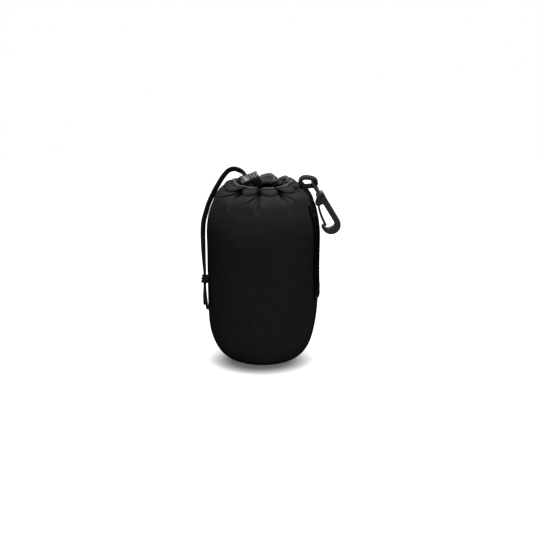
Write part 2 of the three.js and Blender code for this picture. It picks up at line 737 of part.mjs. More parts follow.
eyeHole.quadraticCurveTo(eyeInside - eyeHoleRound, yokeTop, eyeWaist - eyeHoleRound, yokeTop);
eyeHole.lineTo(eyeHoleRound - eyeWaist, yokeTop);
eyeHole.quadraticCurveTo(eyeHoleRound - eyeInside, yokeTop, -eyeInside, eyeShoulder);
eyeHole.lineTo(-eyeInside, throatTop);
eyeOutline.holes.push(eyeHole);
const eyeSlab = new THREE.ExtrudeGeometry(eyeOutline, {
  depth: eyeBarThickness - 2 * eyeBevel,
  bevelThickness: eyeBevel, bevelSize: eyeBevel, bevelOffset: -eyeBevel, bevelSegments: 1, curveSegments: 4,
});
const standing = new THREE.Matrix4().makeBasis(
  new THREE.Vector3(0, 1, 0), new THREE.Vector3(0, 0, 1), new THREE.Vector3(1, 0, 0));
eyeSlab.translate(0, 0, eyeBevel - eyeBarThickness / 2).applyMatrix4(standing);
const post = pinAlongZ(postDiameter, yokeBottom + eyeYoke / 2, postHeadTop - postHeadThickness / 2);
const postHead = pinAlongZ(postHeadDiameter, postHeadTop, postHeadTop - postHeadThickness);
addPiece(hook, 'swivel_eye', join(eyeSlab, post, postHead), acetal());

// Hook frame: hub, straight spine, round bow and nose, with a fork for the gate
const spineOuter = spineOffset + spineWidth / 2;
const spineInner = spineOffset - spineWidth / 2;
const hubHalf = hubDiameter / 2;
const pivotX = -gatePivotOffset;
const pivotZ = hubTop - gatePivotDrop;
const forkRadius = gateKnuckleDiameter / 2 + forkRim;
const gateTipX = pivotX - gateSpread;
const gateTipZ = pivotZ - gateLength;
const noseInner = gateTipX - gateThickness / 2 - seatGap;
const noseOuter = noseInner - noseThickness;
const noseTip = gateTipZ + noseOverlap;
const bowBottom = hubTop - hookLength;
const bowInside = bowBottom + bowThickness;
const bowMiddle = (noseOuter + spineOuter) / 2;
const bowRise = (spineOuter - noseOuter) / 2;

const frameOutline = new THREE.Shape();
frameOutline.moveTo(hubRound - hubHalf, hubTop);
frameOutline.lineTo(hubHalf - hubRound, hubTop);
frameOutline.quadraticCurveTo(hubHalf, hubTop, hubHalf, hubTop - hubRound);
frameOutline.lineTo(hubHalf, windowBottom);
frameOutline.quadraticCurveTo(spineOuter, windowBottom - hubTaper, spineOuter, pivotZ - forkRadius);
frameOutline.lineTo(spineOuter, bowBottom + bowRise);
frameOutline.bezierCurveTo(spineOuter, bowBottom + 0.45 * bowRise, spineOuter - 0.45 * bowRise, bowBottom,
  bowMiddle, bowBottom);
frameOutline.bezierCurveTo(noseOuter + 0.45 * bowRise, bowBottom, noseOuter, bowBottom + 0.45 * bowRise,
  noseOuter, bowBottom + bowRise);
frameOutline.lineTo(noseOuter, noseTip - noseRound);
frameOutline.quadraticCurveTo(noseOuter, noseTip, noseOuter + noseRound, noseTip);
frameOutline.lineTo(noseInner, noseTip);
frameOutline.lineTo(noseInner, gateTipZ);
frameOutline.bezierCurveTo(noseInner, bowInside + bowCorner, noseInner + bowRound, bowInside,
  bowMiddle, bowInside);
frameOutline.bezierCurveTo(spineInner - bowRound, bowInside, spineInner, bowInside + bowCorner,
  spineInner, gateTipZ);
frameOutline.lineTo(spineInner, pivotZ - forkRadius - bowCorner);
frameOutline.quadraticCurveTo(spineInner, pivotZ - forkRadius, spineInner - bowCorner, pivotZ - forkRadius);
frameOutline.lineTo(pivotX, pivotZ - forkRadius);
frameOutline.absarc(pivotX, pivotZ, forkRadius, 1.5 * Math.PI, 0.75 * Math.PI, true);
frameOutline.lineTo(-hubHalf, windowTop);
frameOutline.lineTo(-hubHalf, hubTop - hubRound);
frameOutline.quadraticCurveTo(-hubHalf, hubTop, hubRound - hubHalf, hubTop);

// A flat piece drawn in the X-Z plane, centred on Y
function flatPiece(outline, thickness, bevel) {
  const solid = new THREE.ExtrudeGeometry(outline, {
    depth: thickness - 2 * bevel,
    bevelEnabled: bevel > 0,
    bevelThickness: bevel, bevelSize: bevel, bevelOffset: -bevel, bevelSegments: 1, curveSegments: 5,
  });
  return turned(solid.translate(0, 0, bevel - thickness / 2), 0, 0, 0);
}

function boxAt(fromX, toX, sizeY, fromZ, toZ) {
  const box = new THREE.BoxGeometry(toX - fromX, sizeY, toZ - fromZ);
  return box.translate((fromX + toX) / 2, 0, (fromZ + toZ) / 2);
}

const knuckleRoom = gateKnuckleDiameter / 2 + runningGap;
const forkSlot = boxAt(pivotX - 2 * forkRadius, pivotX + knuckleRoom, gateWidth + 2 * runningGap,
  pivotZ - 2 * forkRadius, pivotZ + knuckleRoom);
const hubWindow = boxAt(-postHeadDiameter / 2 - runningGap, postHeadDiameter / 2 + runningGap,
  2 * hookThickness, windowBottom, windowTop);
const hubBore = pinAlongZ(postDiameter + 2 * runningGap, hubTop + 1, windowTop - 0.5);
const pinHole = pinAlongY(gatePinDiameter + 2 * seatGap, 2 * hookThickness, pivotX, pivotZ);
const frameBlank = flatPiece(frameOutline, hookThickness, hookBevel);
addPiece(hook, 'hook_frame', cut(frameBlank, forkSlot, hubWindow, hubBore, pinHole), acetal());

// Gate: a curved leaf on a knuckle, recessed on one side for its return spring
const gateCurve = new THREE.QuadraticBezierCurve(
  new THREE.Vector2(pivotX, pivotZ),
  new THREE.Vector2(gateTipX + gateBow, pivotZ - 0.37 * gateLength),
  new THREE.Vector2(gateTipX, gateTipZ),
);
const leafSides = [[], []];
const leafSteps = 8;
for (let i = 0; i <= leafSteps; i += 1) {
  const tangent = gateCurve.getTangent(i / leafSteps);
  const normal = new THREE.Vector2(-tangent.y, tangent.x).multiplyScalar(gateThickness / 2);
  leafSides[0].push(gateCurve.getPoint(i / leafSteps).add(normal));
  leafSides[1].push(gateCurve.getPoint(i / leafSteps).sub(normal));
}
const leaf = flatPiece(new THREE.Shape([...leafSides[1], ...leafSides[0].reverse()]), gateWidth, 0);
const knuckle = pinAlongY(gateKnuckleDiameter, gateWidth, pivotX, pivotZ);
const springRoom = pinAlongY(2 * knuckleRoom, gateWidth, pivotX, pivotZ).translate(0, gateWidth / 2, 0);
addPiece(hook, 'hook_gate', cut(join(knuckle, leaf), pinHole, springRoom), acetal());

const gatePin = pinAlongY(gatePinDiameter, hookThickness - 2 * pinRecess, pivotX, pivotZ);
addPiece(hook, 'gate_pin', gatePin, springSteel());

const gateSpringLength = gateWidth / 2 - 2 * seatGap;
const gateSpringDiameter = gatePinDiameter + 2 * (seatGap + gateSpringWire);
const gateCoil = coil(gateSpringLength, gateSpringTurns, gateSpringDiameter, gateSpringWire);
console.log(`gate spring, least gap between turns ${gateCoil.gap.toFixed(2)} mm`);
gateCoil.geometry.rotateZ(Math.PI / 2).translate(pivotX, seatGap, pivotZ);
addPiece(hook, 'gate_spring', gateCoil.geometry, springSteel());

export default part;
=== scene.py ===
"""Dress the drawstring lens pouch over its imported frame.

The part stands at the origin with +Z up and its front towards -Y. Sizes are written in millimetres
and turned into metres where a mesh is placed.
"""

from __future__ import annotations

import logging
import math
import random
from dataclasses import dataclass, field
from enum import Enum
from typing import Callable, Sequence

import bmesh
import bpy
from bmesh.types import BMesh, BMVert
from bpy.types import Material, NodeSocket, Object
from mathutils import Matrix, Vector
from mathutils.geometry import interpolate_bezier


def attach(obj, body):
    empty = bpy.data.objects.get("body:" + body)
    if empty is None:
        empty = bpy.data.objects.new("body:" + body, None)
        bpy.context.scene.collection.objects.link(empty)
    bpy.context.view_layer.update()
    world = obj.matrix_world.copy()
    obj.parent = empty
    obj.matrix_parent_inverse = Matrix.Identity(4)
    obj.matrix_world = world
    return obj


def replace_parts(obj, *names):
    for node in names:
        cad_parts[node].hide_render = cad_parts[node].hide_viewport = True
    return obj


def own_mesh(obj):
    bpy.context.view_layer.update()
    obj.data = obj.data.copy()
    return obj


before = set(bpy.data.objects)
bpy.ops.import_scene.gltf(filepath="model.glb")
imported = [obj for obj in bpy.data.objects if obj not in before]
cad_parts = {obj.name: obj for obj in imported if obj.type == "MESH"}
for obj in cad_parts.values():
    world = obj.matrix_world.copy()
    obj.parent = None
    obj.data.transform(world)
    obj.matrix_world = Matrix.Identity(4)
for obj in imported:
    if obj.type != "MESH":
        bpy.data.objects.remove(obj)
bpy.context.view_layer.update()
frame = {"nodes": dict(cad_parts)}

log = logging.getLogger("lens_pouch")

MM = 0.001
TURN = 2.0 * math.pi
UP = Vector((0.0, 0.0, 1.0)).freeze()
# Vertex attribute that carries painted shade below 0, and painted light with some scuffing above 0.
PAINTED_LIGHT_AND_WEAR = "painted_light_and_wear"
SURFACE = "surface"
MERGE = 1e-4
NODE_MERGE = 1e-3
SAME_PLACE = 1e-6
CREASE_ANGLE = math.radians(60.0)
BEVEL_ANGLE = math.radians(40.0)
FLAT_ANGLE = math.radians(1.0)
STITCH_FILL = 0.78
STITCH_FLAT = 2.4

Pair = tuple[float, float]
Triple = tuple[float, float, float]
Colour = tuple[float, float, float, float]


class Body(str, Enum):
    """The moving bodies that a piece can ride on."""

    POUCH = "pouch"
    LOCK = "lock"
    PLUNGER = "plunger"
    EYE = "eye"
    HOOK = "hook"
    GATE = "gate"


class Slot(str, Enum):
    """The record's material slots."""

    NEOPRENE = "neoprene"
    PLUSH = "plush"
    WEBBING = "webbing"
    CORD = "cord"
    ACETAL = "acetal"
    STEEL = "spring_steel"


class Easing(str, Enum):
    """How a value runs between its ends."""

    EVEN = "LINEAR"
    SOFT = "SMOOTHSTEP"


def smoothstep(low: float, high: float, value: float) -> float:
    """Ease a value from 0 at low to 1 at high.

    Args:
        low: Value that gives 0.
        high: Value that gives 1.
        value: Value to ease.

    Returns:
        The eased share.
    """
    share = min(1.0, max(0.0, (value - low) / (high - low)))
    return share * share * (3.0 - 2.0 * share)


def mix(start: float, end: float, share: float) -> float:
    """Return the value at a share of the way from start to end."""
    return start + (end - start) * share


def bell(offset: float, width: float) -> float:
    """Return 1 at no offset, falling off over a width."""
    return math.exp(-((offset / width) ** 2))


def turn_between(angle: float, other: float) -> float:
    """Return the signed turn from other to angle, between -pi and pi."""
    return (angle - other + math.pi) % TURN - math.pi


def polar(radius: float, angle: float, height: float) -> Vector:
    """Return the point at a radius, a direction about Z in radians, and a height."""
    return Vector((radius * math.cos(angle), radius * math.sin(angle), height))


def radius_at(line: Sequence[Pair], height: float) -> float:
    """Find where a rising profile passes a height.

    Args:
        line: Radius and height pairs.
        height: Height to look for.

    Returns:
        The radius there, or the last one where the profile ends below.
    """
    for (r0, z0), (r1, z1) in zip(line, line[1:]):
        if z0 <= height <= z1:
            return mix(r0, r1, (height - z0) / (z1 - z0))
    return line[-1][0]


def round_curve(points: Sequence[Vector], step: float, closed: bool = False) -> list[Vector]:
    """Sample the centripetal curve through given points.

    Args:
        points: Points that the curve passes, in millimetres.
        step: Wanted distance between samples, in millimetres.
        closed: Whether the curve runs on from the last point to the first.

    Returns:
        Samples from the first point to the last, or round to the first again.
    """
    if closed:
        knots = [points[-1], *points, points[0], points[1]]
    else:
        knots = [points[0] * 2.0 - points[1], *points, points[-1] * 2.0 - points[-2]]
    samples = [points[0].copy()]
    for p0, p1, p2, p3 in zip(knots, knots[1:], knots[2:], knots[3:]):
        d0, d1, d2 = (max(1e-4, (b - a).length ** 0.5) for a, b in ((p0, p1), (p1, p2), (p2, p3)))
        m1 = ((p1 - p0) / d0 - (p2 - p0) / (d0 + d1) + (p2 - p1) / d1) * d1
        m2 = ((p2 - p1) / d1 - (p3 - p1) / (d1 + d2) + (p3 - p2) / d2) * d1
        count = max(1, round((p2 - p1).length / step))
        for k in range(1, count + 1):
            t = k / count
            samples.append(
                p1 * (2 * t**3 - 3 * t**2 + 1) + m1 * (t**3 - 2 * t**2 + t)
                + p2 * (3 * t**2 - 2 * t**3) + m2 * (t**3 - t**2)
            )
    return samples


def path_length(path: Sequence[Vector]) -> float:
    """Return the length of a line of points."""
    return sum((b - a).length for a, b in zip(path, path[1:]))


def bend(start: Pair, pull_a: Pair, pull_b: Pair, end: Pair, steps: int) -> list[Pair]:
    """Sample a flat curve with two pulls.

    Args:
        start: First point.
        pull_a: Point that the start leans towards.
        pull_b: Point that the end comes from.
        end: Last point.
        steps: Number of samples after the first.

    Returns:
        The samples, with both ends.
    """
    points = interpolate_bezier(*(Vector(p) for p in (start, pull_a, pull_b, end)), steps + 1)
    return [(p[0], p[1]) for p in points]


def put_in_scene(name: str, data: bpy.types.ID) -> Object:
    """Make an object of its data and link it to the scene."""
    thing = bpy.data.objects.new(name, data)
    bpy.context.scene.collection.objects.link(thing)
    return thing


def finish_piece(name: str, bm: BMesh, body: Body, slot: Slot, material: Material) -> Object:
    """Turn a bmesh in millimetres into a piece that rides on a body.

    Args:
        name: Name of the piece.
        bm: Mesh to take over, which is freed.
        body: Body that carries it.
        slot: Material slot that it belongs to; not used.
        material: Finish to give it.

    Returns:
        The new piece.
    """
    bmesh.ops.scale(bm, vec=(MM, MM, MM), verts=bm.verts)
    for face in bm.faces:
        face.smooth = True
    mesh = bpy.data.meshes.new(name)
    bm.to_mesh(mesh)
    bm.free()
    mesh.materials.append(material)
    piece = put_in_scene(name, mesh)
    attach(piece, body.value)
    log.info("%s: %d faces on %s", name, len(mesh.polygons), body.value)
    return piece


def absorb(bm: BMesh, part: BMesh) -> None:
    """Move the faces of a part into another mesh, and free the part."""
    mesh = bpy.data.meshes.new("part")
    part.to_mesh(mesh)
    part.free()
    bm.from_mesh(mesh)
    bpy.data.meshes.remove(mesh)


def turn_out(bm: BMesh) -> None:
    """Turn the faces outwards, and keep the edges sharp where they meet steeply."""
    bmesh.ops.recalc_face_normals(bm, faces=bm.faces)
    for edge in bm.edges:
        edge.smooth = not (edge.is_manifold and edge.calc_face_angle() > CREASE_ANGLE)


def soften(piece: Object, levels: int = 1) -> None:
    """Add a subdivision surface of the same level in view and render."""
    surface = piece.modifiers.new("soft_surface", "SUBSURF")
    surface.levels = levels
    surface.render_levels = levels


def spin_line(bm: BMesh, verts: Sequence[BMVert], steps: int, closed: bool = True) -> None:
    """Join vertices to a line and spin it once about Z.

    Args:
        bm: Mesh that holds the vertices.
        verts: Vertices of the line, in order.
        steps: Number of steps round the axis.
        closed: Whether the line's end joins its start.
    """
    after = [*verts[1:], verts[0]] if closed else verts[1:]
    edges = [bm.edges.new(pair) for pair in zip(verts, after)]
    bmesh.ops.spin(bm, geom=[*verts, *edges], cent=(0, 0, 0), axis=(0, 0, 1), dvec=(0, 0, 0),
                   angle=TURN, steps=steps, use_merge=True, use_duplicate=False)


def turned_shell(profile: Sequence[Pair], steps: int, closed: bool = True) -> BMesh:
    """Spin a profile about Z.

    Args:
        profile: Radius and height pairs, in millimetres.
        steps: Number of steps round the axis.
        closed: Whether the profile's end joins its start.

    Returns:
        The spun mesh, with its faces outwards.
    """
    bm = bmesh.new()
    spin_line(bm, [bm.verts.new((radius, 0.0, height)) for radius, height in profile], steps, closed)
    bmesh.ops.remove_doubles(bm, verts=bm.verts, dist=MERGE)
    turn_out(bm)
    return bm


def loft(rings: Sequence[Sequence[Vector]], around: float = 1.0) -> BMesh:
    """Extrude a closed ring of points from place to place.

    Args:
        rings: Places of the ring's points, in millimetres; where the last is the first, the loft
            closes, and open ends get a face.
        around: How far the UV map's first axis runs round the ring.

    Returns:
        The mesh, with a UV map of share around and millimetres along.
    """
    bm = bmesh.new()
    uv = bm.loops.layers.uv.new(SURFACE)
    count = len(rings[0])
    ring = [bm.verts.new(place) for place in rings[0]]
    first = list(ring)
    edges = [bm.edges.new((ring[k], ring[(k + 1) % count])) for k in range(count)]
    along = 0.0
    for before, places in zip(rings, rings[1:]):
        step = sum((b - a).length for a, b in zip(before, places)) / count
        made = bmesh.ops.extrude_edge_only(bm, edges=edges)["geom"]
        fresh = {item for item in made if isinstance(item, BMVert)}
        new_ring = [next(e.other_vert(v) for e in v.link_edges if e.other_vert(v) in fresh) for v in ring]
        for vert, place in zip(new_ring, places):
            vert.co = place
        edges = [bm.edges.get((new_ring[k], new_ring[(k + 1) % count])) for k in range(count)]
        index = {v: k for k, v in enumerate(ring)} | {v: k for k, v in enumerate(new_ring)}
        for edge in edges:
            for face in edge.link_faces:
                wraps = {index[v] for v in face.verts} == {0, count - 1}
                for loop in face.loops:
                    share = 1.0 if wraps and index[loop.vert] == 0 else index[loop.vert] / count
                    loop[uv].uv = (share * around, along + step if loop.vert in fresh else along)
        ring = new_ring
        along += step
    if (rings[0][0] - rings[-1][0]).length < SAME_PLACE:
        bmesh.ops.remove_doubles(bm, verts=bm.verts, dist=10 * SAME_PLACE)
    else:
        bm.faces.new(first)
        bm.faces.new(ring)
    turn_out(bm)
    return bm


def sweep(path: Sequence[Vector], section: Sequence[Pair], up: Vector, around: float = 1.0) -> BMesh:
    """Carry a closed section along a path.

    Args:
        path: Points of the centre line, in millimetres; where the last is the first, the sweep closes.
        section: Points of the section, across and above the line.
        up: Direction that the section's second axis starts from.
        around: How far the UV map's first axis runs round the section.

    Returns:
        The swept mesh.
    """
    closed = (path[0] - path[-1]).length < SAME_PLACE
    side = up.copy()
    rings = []
    for i, point in enumerate(path):
        before = path[i - 1] if i else path[-2 if closed else 0]
        after = path[i + 1] if i + 1 < len(path) else path[1 if closed else -1]
        ahead = (after - before).normalized()
        side = (side - ahead * side.dot(ahead)).normalized()
        across = ahead.cross(side)
        rings.append([point + across * a + side * b for a, b in section])
    return loft(rings, around)


def circle_section(radius: float, sides: int) -> list[Pair]:
    """Return the points of a round section."""
    turns = (TURN * k / sides for k in range(sides))
    return [(radius * math.cos(turn), radius * math.sin(turn)) for turn in turns]


def add_stitch(bm: BMesh, centre: Vector, ahead: Vector, out: Vector, length: float,
               thickness: float) -> None:
    """Add one short rounded stitch of thread.

    Args:
        bm: Mesh that takes the stitch.
        centre: Middle of the stitch, in millimetres.
        ahead: Direction of the seam.
        out: Direction away from the cloth.
        length: Length of the stitch.
        thickness: Thickness of the thread.
    """
    ahead = ahead.normalized()
    out = (out - ahead * out.dot(ahead)).normalized()
    turn = Matrix((ahead, out.cross(ahead), out)).transposed().to_4x4()
    size = Matrix.Diagonal((length / 2, thickness / 2, thickness / STITCH_FLAT, 1.0))
    bmesh.ops.create_uvsphere(bm, u_segments=8, v_segments=5, radius=1.0,
                              matrix=Matrix.Translation(centre) @ turn @ size)


def sew(name: str, line: Sequence[tuple[Vector, Vector]], pitch: float, thickness: float,
        material: Material, closed: bool = False) -> Object:
    """Sew a row of stitches along a line on a surface.

    Args:
        name: Name of the piece.
        line: Points with their outward directions, in millimetres.
        pitch: Distance from one stitch to the next.
        thickness: Thickness of the thread.
        material: Finish of the thread.
        closed: Whether the row runs on from its end to its start.

    Returns:
        The row as one piece on the pouch.
    """
    points = [*line, line[0]] if closed else list(line)
    lengths = [0.0]
    for (a, _), (b, _) in zip(points, points[1:]):
        lengths.append(lengths[-1] + (b - a).length)
    count = max(1, round(lengths[-1] / pitch))
    bm = bmesh.new()
    at = 0
    for i in range(count):
        wanted = (i + 0.5) * lengths[-1] / count
        while lengths[at + 1] < wanted:
            at += 1
        share = (wanted - lengths[at]) / max(SAME_PLACE, lengths[at + 1] - lengths[at])
        (here, out), (after, out_after) = points[at], points[at + 1]
        add_stitch(bm, here.lerp(after, share), after - here, out.lerp(out_after, share),
                   STITCH_FILL * lengths[-1] / count, thickness)
    return finish_piece(name, bm, Body.POUCH, Slot.WEBBING, material)


class Bench:
    """A node tree with one principled shader, and short ways to add to it."""

    def __init__(self, name: str) -> None:
        """Start a material.

        Args:
            name: Name of the material.
        """
        self.material = bpy.data.materials.new(name)
        self.material.use_nodes = True
        self.tree = self.material.node_tree
        self.shader = self.tree.nodes["Principled BSDF"]

    def add(self, kind: str, settings: dict | None = None, **inputs: object) -> bpy.types.Node:
        """Add a node.

        Args:
            kind: Blender's name of the node type.
            settings: Properties of the node.
            **inputs: Values or output sockets for its inputs, with _ for a blank.

        Returns:
            The new node.
        """
        node = self.tree.nodes.new(kind)
        for key, value in (settings or {}).items():
            setattr(node, key, value)
        for key, value in inputs.items():
            number = key[1:]
            self.feed(node.inputs[int(number) if number.isdigit() else key.replace("_", " ")], value)
        return node

    def feed(self, socket: NodeSocket, value: object) -> None:
        """Set an input to a value, or link an output to it."""
        if isinstance(value, NodeSocket):
            self.tree.links.new(value, socket)
        else:
            socket.default_value = value

    def shade(self, **inputs: object) -> None:
        """Set or link inputs of the shader, with _ for a blank in their names."""
        for key, value in inputs.items():
            self.feed(self.shader.inputs[key.replace("_", " ")], value)

    def object_place(self) -> NodeSocket:
        """Return the place on the piece, in metres."""
        return self.add("ShaderNodeTexCoord").outputs["Object"]

    def surface_place(self) -> NodeSocket:
        """Return the piece's own UV map."""
        return self.add("ShaderNodeUVMap", {"uv_map": SURFACE}).outputs["UV"]

    def noise(self, place: NodeSocket, scale: float, detail: float = 2.0) -> NodeSocket:
        """Return a cloudy value at a scale."""
        return self.add("ShaderNodeTexNoise", Vector=place, Scale=scale, Detail=detail).outputs[0]

    def between(self, value: NodeSocket, low: Colour, high: Colour, start: float = 0.3,
                end: float = 0.7) -> NodeSocket:
        """Map a value to a colour between two.

        Args:
            value: Value to map.
            low: Colour at the start.
            high: Colour at the end.
            start: Value that gives the low colour.
            end: Value that gives the high colour.

        Returns:
            The colour.
        """
        ramp = self.add("ShaderNodeValToRGB", Fac=value)
        for stop, position, colour in zip(ramp.color_ramp.elements, (start, end), (low, high)):
            stop.position = position
            stop.color = colour
        return ramp.outputs["Color"]

    def span(self, value: NodeSocket, low: float, high: float, start: float = 0.0, end: float = 1.0,
             easing: Easing = Easing.EVEN) -> NodeSocket:
        """Map a value from one range to another.

        Args:
            value: Value to map.
            low: Result at the start.
            high: Result at the end.
            start: Value that gives the low result.
            end: Value that gives the high result.
            easing: How the result runs between them.

        Returns:
            The result.
        """
        node = self.add("ShaderNodeMapRange", {"interpolation_type": easing.value}, Value=value,
                        From_Min=start, From_Max=end, To_Min=low, To_Max=high)
        return node.outputs["Result"]

    def math(self, operation: str, first: object, second: object = 0.0) -> NodeSocket:
        """Join two values by an operation."""
        return self.add("ShaderNodeMath", {"operation": operation}, _0=first, _1=second).outputs[0]

    def blend(self, first: NodeSocket, second: NodeSocket, share: float) -> NodeSocket:
        """Join two values, with a share of the second."""
        parts = (self.math("MULTIPLY", first, 1.0 - share), self.math("MULTIPLY", second, share))
        return self.math("ADD", *parts)

    def paint_light_and_wear(self, colour: NodeSocket, painted_shade: float, lit_and_worn: float) -> NodeSocket:
        """Darken a colour with painted shade and lighten it with painted light and some scuffing, by the
        piece's own attribute.

        Args:
            colour: Colour of the plain surface.
            painted_shade: Factor at -1, where shade is painted into tucks and slots.
            lit_and_worn: Factor at 1, where light is painted on crests and edges, partly as scuffing.

        Returns:
            The colour with its painted light and shade.
        """
        # The attribute paints shade where it is below 0 and light where it is above 0.
        painted_light_and_wear = self.add("ShaderNodeAttribute", {"attribute_name": PAINTED_LIGHT_AND_WEAR}).outputs["Fac"]
        factor = self.math("MULTIPLY", self.span(painted_light_and_wear, painted_shade, 1.0, -1.0, 0.0), self.span(painted_light_and_wear, 1.0, lit_and_worn))
        scaled = self.add("ShaderNodeVectorMath", {"operation": "SCALE"}, _0=colour, Scale=factor)
        return scaled.outputs["Vector"]

    def relief(self, height: NodeSocket, depth: float, over: NodeSocket | None = None) -> NodeSocket:
        """Raise the surface by a height.

        Args:
            height: Height from 0 to 1.
            depth: Real height of the relief, in millimetres.
            over: Relief below this one.

        Returns:
            The bent normal.
        """
        bump = self.add("ShaderNodeBump", Height=height, Distance=depth * MM)
        if over is not None:
            self.feed(bump.inputs["Normal"], over)
        return bump.outputs["Normal"]


def grey(value: float, tint: Triple = (1.0, 1.0, 1.0)) -> Colour:
    """Return a near-grey colour with a slight tint."""
    return (value * tint[0], value * tint[1], value * tint[2], 1.0)


@dataclass(frozen=True)
class KnitCloth:
    """Black knit face of the foam laminate: fine loops, painted shade in the pits, creases and grooves, and
    painted light on the crests and the folded edge, where it is partly real scuffing.
    """

    name: str = "neoprene_knit"
    dark: float = 0.0145
    light: float = 0.0215
    tint: Triple = (1.0, 0.985, 0.99)
    rib_pitch: float = 0.62
    loop_depth: float = 0.055
    crumple_depth: float = 0.16
    painted_shade: float = 0.05
    lit_and_worn: float = 3.4
    cloud_scale: float = 85.0
    fleck_scale: float = 1500.0
    fleck_share: float = 0.6
    crumple_scale: float = 260.0
    loop_chance: float = 0.55
    tone_range: Pair = (0.35, 0.66)
    roughness: Pair = (0.82, 0.95)

    def material(self) -> Material:
        """Make the material."""
        bench = Bench(self.name)
        place = bench.object_place()
        cloud = bench.noise(place, self.cloud_scale, 4.0)
        fleck = bench.noise(place, self.fleck_scale, 1.0)
        tone = bench.blend(cloud, fleck, self.fleck_share)
        loops = bench.add("ShaderNodeTexVoronoi", Vector=place, Scale=1.0 / (self.rib_pitch * MM),
                          Randomness=self.loop_chance)
        crumple = bench.relief(bench.noise(place, self.crumple_scale, 5.0), self.crumple_depth)
        colour = bench.between(tone, grey(self.dark, self.tint), grey(self.light, self.tint), *self.tone_range)
        # Base colour carries the painted shade and painted light of the attribute.
        bench.shade(
            Base_Color=bench.paint_light_and_wear(colour, self.painted_shade, self.lit_and_worn),
            Roughness=bench.span(fleck, *self.roughness), Specular_IOR_Level=0.0,
            Normal=bench.relief(loops.outputs["Distance"], self.loop_depth, crumple),
        )
        return bench.material


@dataclass(frozen=True)
class PlushCloth:
    """Dark brushed lining with a short pile."""

    name: str = "lining_plush"
    dark: float = 0.012
    light: float = 0.026
    tint: Triple = (1.0, 0.95, 1.02)
    pile_depth: float = 0.25
    pile_scale: float = 1700.0
    nap_scale: float = 140.0
    nap_share: float = 0.4
    roughness: Pair = (0.88, 1.0)
    gloss: float = 0.05
    sheen: float = 0.25
    sheen_roughness: float = 0.6

    def material(self) -> Material:
        """Make the material."""
        bench = Bench(self.name)
        place = bench.object_place()
        pile = bench.noise(place, self.pile_scale, 3.0)
        nap = bench.noise(place, self.nap_scale, 3.0)
        tone = bench.blend(pile, nap, self.nap_share)
        bench.shade(
            Base_Color=bench.between(tone, grey(self.dark, self.tint), grey(self.light, self.tint)),
            Roughness=bench.span(nap, *self.roughness), Specular_IOR_Level=self.gloss,
            Sheen_Weight=self.sheen, Sheen_Roughness=self.sheen_roughness,
            Normal=bench.relief(pile, self.pile_depth),
        )
        return bench.material


@dataclass(frozen=True)
class WovenWebbing:
    """Black narrow webbing: rows of picks across, with a tone that varies from yarn to yarn."""

    name: str = "webbing_weave"
    dark: float = 0.006
    light: float = 0.018
    tint: Triple = (1.0, 1.0, 1.02)
    pick: float = 0.85
    yarn: float = 1.5
    relief: float = 0.22
    gloss: float = 0.06
    yarn_gap: float = 0.16
    yarn_tones: Pair = (0.35, 0.75)
    fibre_scale: float = 2600.0
    fibre_tones: Pair = (0.7, 1.3)
    fibre_rise: Pair = (0.9, 1.1)
    roughness: Pair = (0.6, 0.8)

    def material(self) -> Material:
        """Make the material, on a UV map in millimetres."""
        bench = Bench(self.name)
        place = bench.surface_place()
        tones = [grey(tone) for tone in self.yarn_tones]
        # Black, sunk gaps between the yarns: painted shade in the gaps.
        weave = bench.add("ShaderNodeTexBrick", Vector=place, Scale=1.0, Bias=0.0, Mortar=grey(0.0),
                          Mortar_Size=self.yarn_gap, Mortar_Smooth=1.0, Brick_Width=self.yarn,
                          Row_Height=self.pick, Color1=tones[0], Color2=tones[1])
        fibre = bench.noise(bench.object_place(), self.fibre_scale)
        yarns = bench.math("MULTIPLY", weave.outputs["Color"], bench.span(fibre, *self.fibre_tones))
        height = bench.math("SUBTRACT", bench.span(fibre, *self.fibre_rise), weave.outputs["Fac"])
        bench.shade(
            Base_Color=bench.between(yarns, grey(self.dark), grey(self.light, self.tint), 0.0, 0.8),
            Roughness=bench.span(fibre, *self.roughness), Specular_IOR_Level=self.gloss,
            Normal=bench.relief(height, self.relief),
        )
        return bench.material


@dataclass(frozen=True)
class BraidedCord:
    """Black round braid: two crossing sets of strands on a UV map of share around and millimetres along."""

    name: str = "cord_braid"
    dark: float = 0.003
    light: float = 0.0085
    strands: float = 8.0
    lay: float = 2.6
    relief: float = 0.2
    fibre_scale: float = 3200.0
    fibre_tones: Pair = (0.6, 1.3)
    roughness: Pair = (0.55, 0.75)
    gloss: float = 0.05

    def material(self) -> Material:
        """Make the material."""
        bench = Bench(self.name)
        parts = bench.add("ShaderNodeSeparateXYZ", Vector=bench.surface_place())
        around = bench.math("MULTIPLY", parts.outputs["X"], self.strands * math.pi)
        along = bench.math("MULTIPLY", parts.outputs["Y"], TURN / self.lay)
        waves = [bench.math("ABSOLUTE", bench.math("SINE", bench.math(way, around, along)))
                 for way in ("ADD", "SUBTRACT")]
        # The braid's colour follows its relief, darker in the grooves between strands: painted shade.
        braid = bench.math("MULTIPLY", *waves)
        fibre = bench.noise(bench.object_place(), self.fibre_scale)
        tone = bench.math("MULTIPLY", braid, bench.span(fibre, *self.fibre_tones))
        bench.shade(
            Base_Color=bench.between(tone, grey(self.dark), grey(self.light), 0.1, 0.9),
            Roughness=bench.span(fibre, *self.roughness), Specular_IOR_Level=self.gloss,
            Normal=bench.relief(braid, self.relief),
        )
        return bench.material


